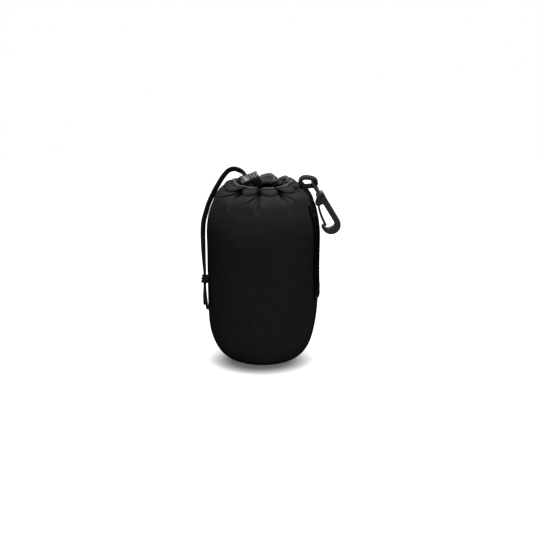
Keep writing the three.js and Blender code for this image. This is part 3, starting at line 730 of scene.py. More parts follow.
@dataclass(frozen=True)
class SewingThread:
    """Twisted black thread, a little glossier than the cloth."""

    name: str = "stitch_thread"
    dark: float = 0.005
    light: float = 0.013
    relief: float = 0.05
    twist_scale: float = 4200.0
    roughness: Pair = (0.4, 0.6)
    gloss: float = 0.08

    def material(self) -> Material:
        """Make the material."""
        bench = Bench(self.name)
        twist = bench.noise(bench.object_place(), self.twist_scale, 1.0)
        bench.shade(
            Base_Color=bench.between(twist, grey(self.dark), grey(self.light)),
            Roughness=bench.span(twist, *self.roughness), Specular_IOR_Level=self.gloss,
            Normal=bench.relief(twist, self.relief),
        )
        return bench.material


@dataclass(frozen=True)
class MouldedAcetal:
    """Black moulded plastic with a fine satin texture, a little lighter in random places, with painted
    highlights and painted shade from the piece's own attribute.
    """

    name: str = "acetal_moulded"
    dark: float = 0.004
    light: float = 0.0095
    roughness: Pair = (0.32, 0.48)
    gloss: float = 0.16
    tint: Triple = (0.97, 1.0, 1.02)
    relief: float = 0.03
    painted_shade: float = 0.05
    lit_and_worn: float = 12.0
    grain_scale: float = 2400.0
    wear_scale: float = 190.0
    wear_share: float = 0.6
    wear_range: Pair = (0.38, 0.66)

    def material(self) -> Material:
        """Make the material."""
        bench = Bench(self.name)
        place = bench.object_place()
        grain = bench.noise(place, self.grain_scale)
        light_and_wear = bench.noise(place, self.wear_scale, 5.0)
        colour = bench.between(light_and_wear, grey(self.dark), grey(self.light, self.tint), *self.wear_range)
        # Base colour carries painted highlights and painted shade from the attribute, where a piece has it.
        bench.shade(
            Base_Color=bench.paint_light_and_wear(colour, self.painted_shade, self.lit_and_worn),
            Roughness=bench.span(bench.blend(grain, light_and_wear, self.wear_share), *self.roughness),
            Specular_IOR_Level=self.gloss, Normal=bench.relief(grain, self.relief),
        )
        return bench.material


@dataclass(frozen=True)
class SpringWire:
    """Drawn steel wire, bright with fine draw marks."""

    name: str = "spring_wire"
    dark: float = 0.42
    light: float = 0.62
    tint: Triple = (1.0, 1.0, 1.02)
    relief: float = 0.02
    mark_scale: float = 3000.0
    roughness: Pair = (0.22, 0.4)

    def material(self) -> Material:
        """Make the material."""
        bench = Bench(self.name)
        marks = bench.noise(bench.object_place(), self.mark_scale, 3.0)
        bench.shade(
            Base_Color=bench.between(marks, grey(self.dark), grey(self.light, self.tint)),
            Metallic=1.0, Roughness=bench.span(marks, *self.roughness),
            Normal=bench.relief(marks, self.relief),
        )
        return bench.material


class Finishes:
    """One material of each finish, shared by the pieces."""

    def __init__(self) -> None:
        """Make the materials."""
        self.knit = KnitCloth().material()
        self.plush = PlushCloth().material()
        self.webbing = WovenWebbing().material()
        # A darker copy of the webbing for the strap on the right flank: painted shade, darkened to sit in the
        # shade of that side.
        self.shaded_belt = WovenWebbing("shaded_belt_weave", 0.0025, 0.0075, gloss=0.0).material()
        self.cord = BraidedCord().material()
        self.thread = SewingThread().material()
        self.acetal = MouldedAcetal().material()
        # A lighter copy of the moulded plastic for the lock, painted light so that its top reads lit; its
        # highlight factor paints the ribs' crests.
        self.lit_lock_acetal = MouldedAcetal(
            "acetal_lock_lit", 0.009, 0.018, (0.34, 0.5), 0.4, lit_and_worn=6.0,
        ).material()
        self.steel = SpringWire().material()
        self.black_steel = SpringWire("pin_black", 0.012, 0.03).material()


@dataclass(frozen=True)
class Softbox:
    """One rectangular lamp, with its place, aim and size in millimetres and its power in watts."""

    name: str
    place: Triple
    aim: Triple
    size: Pair
    power: float

    def hang(self) -> None:
        """Hang the lamp in the scene."""
        data = bpy.data.lights.new(self.name, "AREA")
        data.shape = "RECTANGLE"
        data.size, data.size_y = self.size[0] * MM, self.size[1] * MM
        data.energy = self.power
        lamp = put_in_scene(self.name, data)
        lamp.location = Vector(self.place) * MM
        lamp.rotation_euler = (Vector(self.aim) - Vector(self.place)).to_track_quat("-Z", "Y").to_euler()


@dataclass
class Studio:
    """Camera, soft lamps and the white floor, whose glow is dimmed in a painted oval near the part, so that
    the lamps' shadow shows there and fades out over an edge given in metres.
    """

    lens: float = 85.0
    sensor: float = 36.0
    elevation: float = 18.0
    distance: float = 1153.0
    aim: Triple = (6.8, 0.0, 81.5)
    softboxes: tuple[Softbox, ...] = (
        Softbox("top_softbox", (20.0, 60.0, 1050.0), (0.0, 0.0, 120.0), (330.0, 360.0), 20.0),
        Softbox("front_softbox", (260.0, -1150.0, 640.0), (0.0, 0.0, 90.0), (460.0, 460.0), 4.9),
    )
    surround: float = 0.009
    white: float = 1.0
    floor_radius: float = 900.0
    floor_drop: float = 0.3
    floor_grey: float = 0.3
    floor_roughness: float = 0.9
    floor_sides: int = 96
    # Painted outline of the floor's shadow: the oval where the glow is dimmed.
    shadow_centre: Triple = (-0.002, -0.014, 0.0)
    shadow_shape: Triple = (0.98, 0.76, 1.0)
    shadow_edge: Pair = (0.024, 0.056)
    shade_floor: float = 0.1

    def build(self) -> None:
        """Make the camera, the lamps, the world and the floor."""
        self.make_camera()
        for softbox in self.softboxes:
            softbox.hang()
        self.make_world()
        self.make_floor()

    def make_camera(self) -> None:
        """Stand the camera at the photograph's angle."""
        camera = put_in_scene("camera", bpy.data.cameras.new("camera"))
        camera.data.lens = self.lens
        camera.data.sensor_width = self.sensor
        rise = math.radians(self.elevation)
        back = Vector((0.0, -math.cos(rise), math.sin(rise)))
        camera.location = (Vector(self.aim) + back * self.distance) * MM
        camera.rotation_euler = (math.pi / 2 - rise, 0.0, 0.0)
        bpy.context.scene.camera = camera

    @staticmethod
    def seen(tree: bpy.types.NodeTree) -> NodeSocket:
        """Return 1 for what the camera sees straight, mirrored or through glass."""
        path = tree.nodes.new("ShaderNodeLightPath")
        total: NodeSocket = path.outputs["Is Camera Ray"]
        for ray in ("Is Glossy Ray", "Is Transmission Ray"):
            node = tree.nodes.new("ShaderNodeMath")
            node.operation = "MAXIMUM"
            tree.links.new(total, node.inputs[0])
            tree.links.new(path.outputs[ray], node.inputs[1])
            total = node.outputs[0]
        return total

    def make_world(self) -> None:
        """Give a soft grey surround that shows white."""
        world = bpy.data.worlds.new("surround")
        world.use_nodes = True
        bpy.context.scene.world = world
        tree = world.node_tree
        tree.nodes.clear()
        choice = tree.nodes.new("ShaderNodeMixShader")
        tree.links.new(self.seen(tree), choice.inputs[0])
        for socket, strength in zip(choice.inputs[1:], (self.surround, self.white)):
            light = tree.nodes.new("ShaderNodeBackground")
            light.inputs["Color"].default_value = grey(1.0)
            light.inputs["Strength"].default_value = strength
            tree.links.new(light.outputs[0], socket)
        out = tree.nodes.new("ShaderNodeOutputWorld")
        tree.links.new(choice.outputs[0], out.inputs["Surface"])
        bpy.context.scene.view_settings.view_transform = "Standard"

    def make_floor(self) -> None:
        """Lay a white floor whose glow is dimmed in a painted oval near the part, so that the lamps' real
        shadow shows there and white further out.
        """
        bm = bmesh.new()
        bmesh.ops.create_circle(bm, cap_ends=True, segments=self.floor_sides, radius=self.floor_radius * MM,
                                matrix=Matrix.Translation((0.0, 0.0, -self.floor_drop * MM)))
        mesh = bpy.data.meshes.new("floor")
        bm.to_mesh(mesh)
        bm.free()
        floor = put_in_scene("floor", mesh)
        bench = Bench("floor_white")
        bench.shade(Base_Color=grey(self.floor_grey), Roughness=self.floor_roughness, Specular_IOR_Level=0.0)
        # Painted shadow outline: the glow seen by the camera falls to shade_floor in an oval set forward of
        # the part; the dark inside is the lamps' real shadow.
        under = bench.add("ShaderNodeMapping", {"vector_type": "TEXTURE"}, Vector=bench.object_place(),
                          Location=self.shadow_centre, Scale=self.shadow_shape)
        far = bench.add("ShaderNodeVectorMath", {"operation": "LENGTH"}, _0=under.outputs["Vector"])
        edge = bench.span(far.outputs["Value"], self.shade_floor, self.white, *self.shadow_edge, Easing.SOFT)
        strength = bench.math("MULTIPLY", self.seen(bench.tree), edge)
        glow = bench.add("ShaderNodeEmission", Color=grey(1.0), Strength=strength)
        both = bench.add("ShaderNodeAddShader", _0=bench.shader.outputs[0], _1=glow.outputs[0])
        bench.feed(bench.tree.nodes["Material Output"].inputs["Surface"], both.outputs[0])
        mesh.materials.append(bench.material)


@dataclass(frozen=True)
class Valley:
    """One drawn-in fold of the gathered mouth, with the half width, drop and rise of its pit, which is pushed
    in and painted with shade.
    """

    angle: float
    depth: float
    dip: float
    pit: float
    drop: float = 6.0
    rise: float = 15.0

    def aside(self, angle: float) -> float:
        """Return how far a direction in radians lies to either side of the fold."""
        return abs(turn_between(angle, math.radians(self.angle)))


@dataclass(frozen=True)
class Crease:
    """One fine crease that runs down from the foot of a fold."""

    angle: float
    lean: float
    length: float
    depth: float
    width: float
    onset: float = 1.2
    fading: float = 0.7
    ridge: Pair = (0.45, 1.9)

    def depth_at(self, angle: float, below: float, reach: float) -> float:
        """Return the crease's depth at a place.

        Args:
            angle: Direction about Z, in radians.
            below: Distance below the gather line along the cloth.
            reach: Radius of the gather line.

        Returns:
            The depth, which is negative on the low ridges beside the crease.
        """
        across = turn_between(angle, math.radians(self.angle)) * reach
        if abs(across) > self.length:
            return 0.0
        lean = math.radians(self.lean)
        along = across * math.sin(lean) + below * math.cos(lean)
        if not 0.0 <= along <= self.length:
            return 0.0
        aside = abs(across * math.cos(lean) - below * math.sin(lean)) / self.width
        fade = smoothstep(0.0, self.onset, along) * (1.0 - along / self.length) ** self.fading
        height, place = self.ridge
        return self.depth * fade * (bell(aside, 1.0) - height * bell(aside - place, 1.0))


@dataclass(frozen=True)
class Ripple:
    """One slow wave of the soft wall: its height, count round the wall, climb and shift."""

    height: float
    count: float
    climb: float
    shift: float = 0.0

    def at(self, angle: float, height: float) -> float:
        """Return the wave at a direction in radians and a height."""
        return self.height * math.sin(self.count * angle + self.climb * height + self.shift)


@dataclass
class PouchForm:
    """Shape of the drawn pouch: a round body whose mouth is gathered into uneven lobes."""

    radius: float = 50.0
    base_flat: float = 22.0
    base_pull: Pair = (42.5, 0.0)
    hip_pull: Pair = (50.0, 17.6)
    hip: float = 70.0
    shoulder: float = 112.0
    crown_pulls: tuple[Pair, Pair] = ((50.0, 131.7), (45.5, 150.1))
    crown_steps: int = 120
    fine_above: float = 140.0
    gather_radius: float = 33.5
    gather_height: float = 159.0
    rim_radius: float = 24.0
    rim_height: float = 165.5
    seam_height: float = 9.0
    fold_start: float = 143.0
    mouth_start: float = 151.0
    puff: float = 2.0
    pit_share: float = 0.25
    pit_core: float = 0.3
    pit_least: float = 0.02
    pit_ease: float = 0.2
    pit_climb: float = 9.0
    lobe_round: float = 0.96
    wall_fold: float = 5.0
    rim_fold: float = 0.9
    gather_groove: Pair = (0.55, 0.7)
    seam_groove: Pair = (0.08, 1.1)
    calm: tuple[Pair, Pair] = ((4.0, 30.0), (146.0, 158.0))
    ripples: tuple[Ripple, ...] = (
        Ripple(0.34, 2.0, 0.045, 0.6), Ripple(0.26, 5.0, -0.07), Ripple(0.2, 3.0, 0.11, 2.1),
    )
    # Painted light and shade on the wall's face: shade in the pits, creases and along the gather groove, a
    # little light near the top.
    painted_light_margin: float = 10.0
    crease_full: float = 0.7
    crease_shade: float = 0.95
    wall_top_light: float = 0.05
    wall_pit_shade: float = 1.1
    gather_line_shade: Pair = (0.75, 0.6)
    wrinkles: float = 58.0
    wrinkle_height: float = 0.5
    # Painted light on the far inner wrinkles.
    far_wrinkle_light: Pair = (0.55, 0.7)
    inner_waves: float = 31.0
    inner_wave_height: float = 0.35
    edge_waves: float = 17.0
    edge_wave_height: float = 0.28
    # Painted shade along the stitch rows, in the pits and low on the inner face.
    hem_seam_shade: tuple[Triple, ...] = ((0.2, 0.5, 0.7), (8.1, 0.45, 0.9))
    hem_pit_shade: float = 1.4
    inner_pit_shade: float = 0.2
    inner_inset: float = 0.8
    inner_pit: float = 0.6
    inner_shade_span: Pair = (3.5, 8.5)
    inner_shade: float = 1.9
    rim_inset: float = 0.7
    rim_puff: float = 0.5
    # Painted light towards the folded edge, partly real scuffing.
    edge_light: Pair = (0.66, 0.92)
    edge_light_and_wear: Pair = (0.07, 0.95)
    back_stand: Pair = (156.0, 166.0)
    back_flare: Pair = (-6.0, 4.5)
    back_edge: Triple = (163.0, 165.0, 2.5)
    valleys: tuple[Valley, ...] = (
        Valley(17.0, 2.6, 1.4, 0.9), Valley(57.0, 9.0, 5.0, 2.7), Valley(99.0, 8.5, 3.4, 2.5),
        Valley(145.0, 7.0, 3.0, 2.1), Valley(182.0, 1.8, 1.6, 1.2),
        Valley(228.0, 11.5, 3.8, 7.0, 7.5, 11.0), Valley(264.0, 12.0, 4.6, 3.2, 5.5, 30.0),
        Valley(303.0, 11.0, 4.2, 4.2, 7.5, 14.0), Valley(341.0, 7.0, 3.0, 2.1),
    )
    creases: tuple[Crease, ...] = (
        Crease(264.0, -46.0, 14.0, 1.1, 0.8), Crease(264.0, -14.0, 10.0, 0.7, 0.6),
        Crease(264.0, 9.0, 15.0, 0.9, 0.65), Crease(264.0, 36.0, 8.0, 0.5, 0.6),
        Crease(228.0, -60.0, 19.0, 1.3, 0.9), Crease(228.0, 74.0, 9.0, 0.9, 0.8),
        Crease(228.0, -8.0, 9.0, 0.6, 0.7), Crease(303.0, 44.0, 15.0, 1.1, 0.8),
        Crease(303.0, 10.0, 10.0, 0.6, 0.6), Crease(303.0, -34.0, 8.0, 0.5, 0.6),
        Crease(341.0, 30.0, 9.0, 0.7, 0.8), Crease(341.0, -20.0, 8.0, 0.5, 0.6),
        Crease(17.0, -25.0, 9.0, 0.7, 0.8), Crease(17.0, 22.0, 7.0, 0.5, 0.6),
        Crease(57.0, -35.0, 10.0, 0.9, 0.8), Crease(57.0, 5.0, 8.0, 0.6, 0.6),
        Crease(57.0, 38.0, 9.0, 0.7, 0.7), Crease(99.0, -18.0, 8.0, 0.6, 0.6),
        Crease(99.0, 28.0, 11.0, 0.9, 0.8), Crease(145.0, -40.0, 10.0, 0.8, 0.8),
        Crease(145.0, 12.0, 8.0, 0.6, 0.6), Crease(182.0, -28.0, 8.0, 0.6, 0.7),
        Crease(182.0, 25.0, 8.0, 0.6, 0.7),
    )

    def corner_line(self) -> list[Pair]:
        """Return the rounded corner from the base's flat to the hip."""
        return bend((self.base_flat, 0.0), self.base_pull, self.hip_pull, (self.radius, self.hip), 60)

    def outer_line(self) -> list[Pair]:
        """Return the outer face from the base seam to the gather line, close together near the top."""
        corner = self.corner_line()
        line = [self.seam_point(), *(p for p in corner[::3] if p[1] > self.seam_height + 0.8)]
        line += [(self.radius, mix(self.hip, self.shoulder, k / 9)) for k in range(1, 9)]
        crown = bend((self.radius, self.shoulder), *self.crown_pulls,
                     (self.gather_radius, self.gather_height), self.crown_steps)
        return line + [p for i, p in enumerate(crown) if i % (2 if p[1] > self.fine_above else 6) == 0]

    def base_line(self) -> list[Pair]:
        """Return the outer face of the base, from the middle to the seam."""
        flat = [(self.base_flat * k / 6, 0.0) for k in range(6)]
        radius, height = self.seam_point()
        below = [p for p in self.corner_line() if p[1] < height - 0.4]
        return [*flat, *below, (radius - 0.05, height - 0.05)]

    def seam_point(self) -> Pair:
        """Return the place of the base seam on the outer face."""
        return radius_at(self.corner_line(), self.seam_height), self.seam_height

    def band_point(self, along: float, depth: float) -> Pair:
        """Return a point of the hem band from its place along the band and below its face."""
        run = Vector((self.rim_radius - self.gather_radius, self.rim_height - self.gather_height)).normalized()
        return (self.gather_radius + run.x * along - run.y * depth,
                self.gather_height + run.y * along + run.x * depth)

    def pinch(self, angle: float, narrow: float) -> Triple:
        """Return how far a direction lies in a fold.

        Args:
            angle: Direction about Z, in radians.
            narrow: How narrow the folds are; a higher value leaves only a crease.

        Returns:
            Share in the fold, the fold's depth and the dip of its rim.
        """
        degrees = math.degrees(angle) % 360.0
        deepest = 1.0 - math.sqrt(1.0 - self.lobe_round)
        for here, after in zip(self.valleys, (*self.valleys[1:], self.valleys[0])):
            width = (after.angle - here.angle) % 360.0
            share = ((degrees - here.angle) % 360.0) / width
            if share <= 1.0:
                bulge = math.sqrt(1.0 - self.lobe_round * (2.0 * share - 1.0) ** 2)
                near = here if share < 0.5 else after
                return ((1.0 - bulge) / deepest) ** narrow, near.depth, near.dip
        return 0.0, 0.0, 0.0

    def pit(self, angle: float, below: float) -> float:
        """Return how far a point lies in the mouth of a fold, which is pushed in and painted with shade.

        Args:
            angle: Direction about Z, in radians.
            below: Distance below the gather line along the cloth, negative above it.

        Returns:
            1 in the middle of the pit and 0 outside it.
        """
        near = min(self.valleys, key=lambda fold: fold.aside(angle))
        taper = 1.0 - below / near.drop if below > 0.0 else 1.0 + below / near.rise
        width = near.pit * max(self.pit_least, taper)
        aside = near.aside(angle) * self.gather_radius
        return (1.0 - smoothstep(self.pit_core * width, width, aside)) * smoothstep(0.0, self.pit_ease, taper)

    def creasing(self, angle: float, below: float) -> float:
        """Return the depth of the fine creases at a direction and distance below the gather line."""
        return sum(crease.depth_at(angle, below, self.gather_radius) for crease in self.creases)

    def slack(self, angle: float, height: float) -> float:
        """Return the slight unevenness of the soft wall."""
        rise, fall = self.calm
        share = smoothstep(*rise, height) * (1.0 - smoothstep(*fall, height))
        return share * sum(ripple.at(angle, height) for ripple in self.ripples)

    def wall_radius(self, angle: float, radius: float, height: float, face: float) -> float:
        """Return the gathered radius of a point of the wall.

        Args:
            angle: Direction about Z, in radians.
            radius: Radius before gathering.
            height: Height of the outer face at that point.
            face: 1 on the outer face, 0 further in, where there are no fine creases.

        Returns:
            The radius after gathering.
        """
        share = smoothstep(self.fold_start, self.gather_height, height)
        fold, depth, _ = self.pinch(angle, mix(self.wall_fold, self.rim_fold, share))
        drawn = 0.5 * share + 0.5 * smoothstep(self.mouth_start, self.gather_height, height)
        inset = depth * drawn * fold
        if face > 0.0:
            below = self.below(radius, height)
            for (deep, width), middle in ((self.gather_groove, self.gather_height),
                                          (self.seam_groove, self.seam_height)):
                inset += deep * bell(height - middle, width)
            inset += self.creasing(angle, below) + self.pit_share * depth * self.pit(angle, below)
        return radius - inset + self.puff * share * (1.0 - fold) + self.slack(angle, height)

    def below(self, radius: float, height: float) -> float:
        """Return the distance of a point of the ungathered wall from the gather line."""
        return math.hypot(radius - self.gather_radius, height - self.gather_height)

    def wall_painted_light(self, angle: float, radius: float, height: float) -> float:
        """Return the painted light of the wall's face: painted shade down to -1 in a pit, a crease and the
        gather groove, and a little painted light near the top.
        """
        if height < self.fold_start - self.painted_light_margin:
            return 0.0
        below = self.below(radius, height)
        # Painted shade in the pits and creases, a little painted light near the top, and painted shade along
        # the gather groove.
        creased = min(1.0, max(0.0, self.creasing(angle, below)) / self.crease_full)
        tuck = max(self.pit(angle, below), self.crease_shade * creased)
        crest = self.wall_top_light * smoothstep(self.fold_start, self.gather_height, height)
        dark, width = self.gather_line_shade
        return max(-1.0, crest - self.wall_pit_shade * tuck - dark * bell(below, width))

    @staticmethod
    def behind(angle: float) -> float:
        """Return how far a direction lies at the back, from 0 in front to 1."""
        return max(0.0, math.sin(angle)) ** 0.8

    @staticmethod
    def uneven(angle: float, count: float, drift: float = 3.0, beat: float = 4.0) -> float:
        """Return a wave of a count round the mouth, whose spacing drifts."""
        return math.sin(count * angle + drift * math.sin(beat * angle))

    def hem_painted_light_and_wear(self, angle: float, along: float, face: float) -> float:
        """Return the hem's painted light and shade: painted shade down to -1 in a pit, along the stitch rows
        and low on the inner face, and painted light along the folded edge, partly real scuffing, and on the
        far inner wrinkles.
        """
        length = math.hypot(self.gather_radius - self.rim_radius, self.rim_height - self.gather_height)
        # Painted shade in the pits and along the stitch rows.
        tuck = self.pit(angle, -along) * mix(self.inner_pit_shade, 1.0, face)
        seam = sum(dark * bell(along - place, width) for place, width, dark in self.hem_seam_shade)
        # Painted light towards the folded edge, partly real scuffing.
        edge = mix(*self.edge_light_and_wear, smoothstep(*self.edge_light, along / length))
        # Painted light on the far inner wrinkles and painted shade low on the inner face.
        plain, swing = self.far_wrinkle_light
        wrinkle = plain + swing * self.uneven(angle, self.wrinkles)
        shade = self.inner_shade * (1.0 - smoothstep(*self.inner_shade_span, along))
        far = (1.0 - face) * (self.behind(angle) * wrinkle - shade)
        return min(1.0, max(-1.0, edge + far - self.hem_pit_shade * tuck - face * seam))

    def hem_place(self, angle: float, radius: float, height: float, face: float) -> Pair:
        """Return the gathered radius and height of a point of the hem.

        Args:
            angle: Direction about Z, in radians.
            radius: Radius before gathering.
            height: Height before gathering.
            face: 1 on the outer face and 0 on the inner face.

        Returns:
            Radius and height after gathering.
        """
        fold, depth, dip = self.pinch(angle, self.rim_fold)
        rise = smoothstep(self.gather_height, self.rim_height, height)
        outward = self.puff * (1.0 - fold) * mix(1.0, self.rim_puff, rise)
        inset = mix(1.0, self.rim_inset, rise) * depth * fold * mix(self.inner_inset, 1.0, face)
        pit = self.pit(angle, -self.pit_climb * rise)
        inset += self.pit_share * depth * mix(self.inner_pit, 1.0, face) * pit
        back = self.behind(angle)
        waves = self.inner_wave_height * self.uneven(angle, self.inner_waves)
        waves += self.wrinkle_height * back * self.uneven(angle, self.wrinkles)
        start, end, lean = self.back_edge
        flare = mix(*self.back_flare, smoothstep(*self.back_stand, height)) * (1.0 - face)
        flare += lean * smoothstep(start, end, height) * face
        edge = self.edge_wave_height * rise * self.uneven(angle, self.edge_waves, 2.0, 3.0)
        moved = radius - inset + outward + (1.0 - face) * waves + back * flare
        return moved, height - dip * rise * fold + edge

    def hem_face(self, angle: float, along: float, lift: float) -> Vector:
        """Return a point on the hem's outer face, lifted off by a distance."""
        radius, height = self.hem_place(angle, *self.band_point(along, -lift), 1.0)
        return polar(radius, angle, height)


@dataclass
class LockFrame:
    """The cord lock's own axes: x towards the plunger, y against the cord's way out, z up."""

    centre: Vector = Vector((-11.6, -4.6, 164.2)).freeze()
    axis: Vector = Vector((-0.914, -0.156, -0.374)).normalized().freeze()
    cord_lean: float = -20.0

    def matrix(self) -> Matrix:
        """Return the frame as a matrix in millimetres."""
        side = UP.cross(self.axis).normalized()
        inward = Matrix.Rotation(math.radians(self.cord_lean), 3, self.axis) @ side
        up = self.axis.cross(inward)
        turn = Matrix((self.axis, inward, up)).transposed().to_4x4()
        return Matrix.Translation(self.centre) @ turn

    def point(self, along: float, up: float) -> Vector:
        """Return a point along the cord's way out and up across the lock."""
        return self.matrix() @ Vector((0.0, -along, up))


@dataclass(frozen=True)
class StrandWay:
    """One strand's given points: over the hem from the lock, down the side line, and below the knot."""

    letter: str
    side: float
    over: tuple[Triple, ...]
    down: tuple[Triple, ...]
    tail: tuple[Triple, ...]


UPPER_STRAND = StrandWay(
    "a", 1.0,
    ((-5.7, 13.8, 6.6), (-8.6, 16.0, 8.0), (-13.7, 16.7, 9.2), (-18.9, 15.8, 7.8), (-23.6, 13.5, 3.3),
     (-28.5, 10.7, -3.9)),
    ((8.5, 3.8, -6.3), (4.7, 1.6, -14.3), (1.8, -0.2, -22.9), (-0.4, -2.0, -31.4), (-1.0, -4.2, -40.8),
     (-0.5, -9.4, -53.2), (0.7, -15.0, -65.6)),
    ((0.7, -2.8, -15.0), (2.1, -4.4, -26.2)),
)
LOWER_STRAND = StrandWay(
    "b", -1.0,
    ((-5.1, 15.2, 4.0), (-8.9, 17.6, 5.6), (-13.7, 18.3, 6.8), (-18.1, 17.4, 5.6), (-22.3, 15.3, 1.4),
     (-26.9, 12.5, -5.5)),
    ((10.2, 5.6, -7.7), (6.4, 3.6, -15.5), (3.7, 1.8, -23.8), (1.5, 0.0, -32.2), (0.9, -2.2, -41.4),
     (1.1, -7.1, -53.7), (1.4, -12.4, -66.1)),
    ((-0.7, 1.2, -15.0), (-0.5, -0.4, -23.6)),
)


@dataclass
class DrawCord:
    """The drawn cord: two strands through the lock, a knot, cut tails and the hidden run in the hem."""

    diameter: float = 2.5
    spacing: float = 3.1
    sides: int = 16
    step: float = 0.9
    knot_centre: Vector = Vector((-51.4, -16.0, 78.2)).freeze()
    knot_height: float = 8.4
    knot_reach: Pair = (2.25, 2.8)
    knot_start: float = 200.0
    knot_turns: tuple[Pair, ...] = (
        (-0.15, 1.0), (0.25, 0.86), (0.6, 0.6), (1.0, 0.28), (1.35, 0.0), (1.75, -0.32), (2.1, -0.62),
        (2.45, -0.9),
    )
    knot_crossing: tuple[Pair, ...] = ((2.75, -1.0), (3.05, -0.55), (3.3, 0.1), (3.55, 0.75), (3.8, 1.0))
    knot_snug: float = 0.94
    knot_step: float = 0.5
    side_line: Vector = Vector((-53.0, 0.0, 159.0)).freeze()
    lock: LockFrame = field(default_factory=LockFrame)
    straight_start: float = 7.6
    straight_end: float = 12.1
    fray_count: int = 14
    fray_turn: float = 0.2
    fray_sunk: float = 0.8
    fray_root: Pair = (0.2, 0.9)
    fray_reach: Pair = (0.8, 2.4)
    fray_flare: Pair = (0.1, 0.5)
    yarn: float = 0.22
    form: PouchForm = field(default_factory=PouchForm)
    channel: Pair = (5.76, 3.75)
    slit: float = 252.0
    slit_half: float = 3.2
    slit_way: tuple[Pair, ...] = ((7.5, 1.8), (4.0, 2.2))
    lock_back: float = 10.1
    run_steps: int = 120
    run_step: float = 1.2
    run_sides: int = 12

    def route(self, way: StrandWay) -> list[Vector]:
        """Return one strand's line from the lock through the knot to its cut end.

        Args:
            way: Given points of the strand.

        Returns:
            Samples along the strand, in millimetres.
        """
        aside = way.side * self.spacing / 2
        stops = (-self.straight_start, 0.0, self.straight_end - 1.0, self.straight_end)
        points = [self.lock.point(along, aside) for along in stops]
        points += [self.lock.centre + Vector(p) for p in way.over]
        points += [self.side_line + Vector(p) for p in way.down]
        half = self.knot_height / 2 + 0.3
        points += [self.knot_centre + Vector((0.0, -aside, z)) for z in (half + self.diameter, half, -half)]
        points += [self.knot_centre + Vector(p) for p in way.tail]
        return round_curve(points, self.step)

    def build(self, finishes: Finishes) -> None:
        """Make the strands, the knot and the frayed ends.

        Args:
            finishes: Materials to use.
        """
        self.make_run(finishes)
        knot = self.make_knot(finishes)
        for way, tied in ((UPPER_STRAND, [knot]), (LOWER_STRAND, [])):
            path = self.route(way)
            bm = sweep(path, circle_section(self.diameter / 2, self.sides), UP)
            strand = finish_piece(f"cord_end_{way.letter}", bm, Body.POUCH, Slot.CORD, finishes.cord)
            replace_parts(strand, f"cord_strand_{way.letter}", f"cord_tail_{way.letter}")
            fray = self.make_fray(f"cord_fray_{way.letter}", path, finishes)
            line = [point * MM for point in path]
            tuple(line[0])
            path_length(line)
            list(tied)

    def channel_point(self, angle: float, along: float = 0.0, side: float = 0.0) -> Vector:
        """Return a point in the hem's channel or on the way up out of it.

        Args:
            angle: Direction about Z, in radians.
            along: Distance up the hem from the channel, in millimetres.
            side: Distance aside.

        Returns:
            The point, in millimetres.
        """
        start = self.form.band_point(*self.channel)
        above = self.form.band_point(self.channel[0] + along, self.channel[1])
        radius, height = self.form.hem_place(angle, *start, 0.5)
        place = polar(radius + above[0] - start[0], angle, height + above[1] - start[1])
        return place + polar(side, angle + math.pi / 2, 0.0)

    def make_run(self, finishes: Finishes) -> Object:
        """Lay the hidden run: from the lock into the slit, round the hem's channel and back to the lock."""
        slit = math.radians(self.slit)
        margin = math.asin(self.slit_half / self.channel_point(slit).xy.length)
        backs = (self.straight_start + 0.3, self.lock_back)
        points = [self.lock.point(-back, -self.spacing / 2) for back in backs]
        points += [self.channel_point(slit, along, side) for along, side in self.slit_way]
        for k in range(self.run_steps + 1):
            points.append(self.channel_point(slit + mix(margin, TURN - margin, k / self.run_steps)))
        points += [self.channel_point(slit, along, -side) for along, side in reversed(self.slit_way)]
        points += [self.lock.point(-back, self.spacing / 2) for back in reversed(backs)]
        section = circle_section(self.diameter / 2, self.run_sides)
        bm = sweep(round_curve(points, self.run_step), section, UP)
        run = finish_piece("channel_cord", bm, Body.POUCH, Slot.CORD, finishes.cord)
        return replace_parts(run, "drawcord")

    def make_knot(self, finishes: Finishes) -> Object:
        """Tie the overhand knot: two snug turns round both strands, locked by a crossing turn."""
        height = self.knot_height / 2 - 1.3
        points = []
        for reach, turns in zip(self.knot_reach, (self.knot_turns, self.knot_crossing)):
            for turn, share in turns:
                angle = TURN * turn + math.radians(self.knot_start)
                points.append(self.knot_centre + polar(reach, angle, share * height))
        section = circle_section(self.diameter / 2 * self.knot_snug, self.sides)
        bm = sweep(round_curve(points, self.knot_step), section, UP)
        knot = finish_piece("cord_overhand_knot", bm, Body.POUCH, Slot.CORD, finishes.cord)
        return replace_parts(knot, "cord_knot")

    def make_fray(self, name: str, path: Sequence[Vector], finishes: Finishes) -> Object:
        """Open the cut end into a few loose yarns.

        Args:
            name: Name of the piece.
            path: Line of the strand.
            finishes: Materials to use.

        Returns:
            The yarns as one piece.
        """
        chance = random.Random(name)
        end, ahead = path[-1], (path[-1] - path[-3]).normalized()
        side = ahead.orthogonal().normalized()
        bm = bmesh.new()
        for k in range(self.fray_count):
            angle = TURN * k / self.fray_count + chance.uniform(-self.fray_turn, self.fray_turn)
            out = Matrix.Rotation(angle, 3, ahead) @ side
            root = end - ahead * self.fray_sunk + out * chance.uniform(*self.fray_root)
            reach, flare = chance.uniform(*self.fray_reach), chance.uniform(*self.fray_flare)
            middle = root + ahead * reach * 0.5 + out * flare * 0.3
            line = [root, middle, root + ahead * reach + out * flare]
            absorb(bm, sweep(line, circle_section(self.yarn, 5), out))
        return finish_piece(name, bm, Body.POUCH, Slot.CORD, finishes.cord)


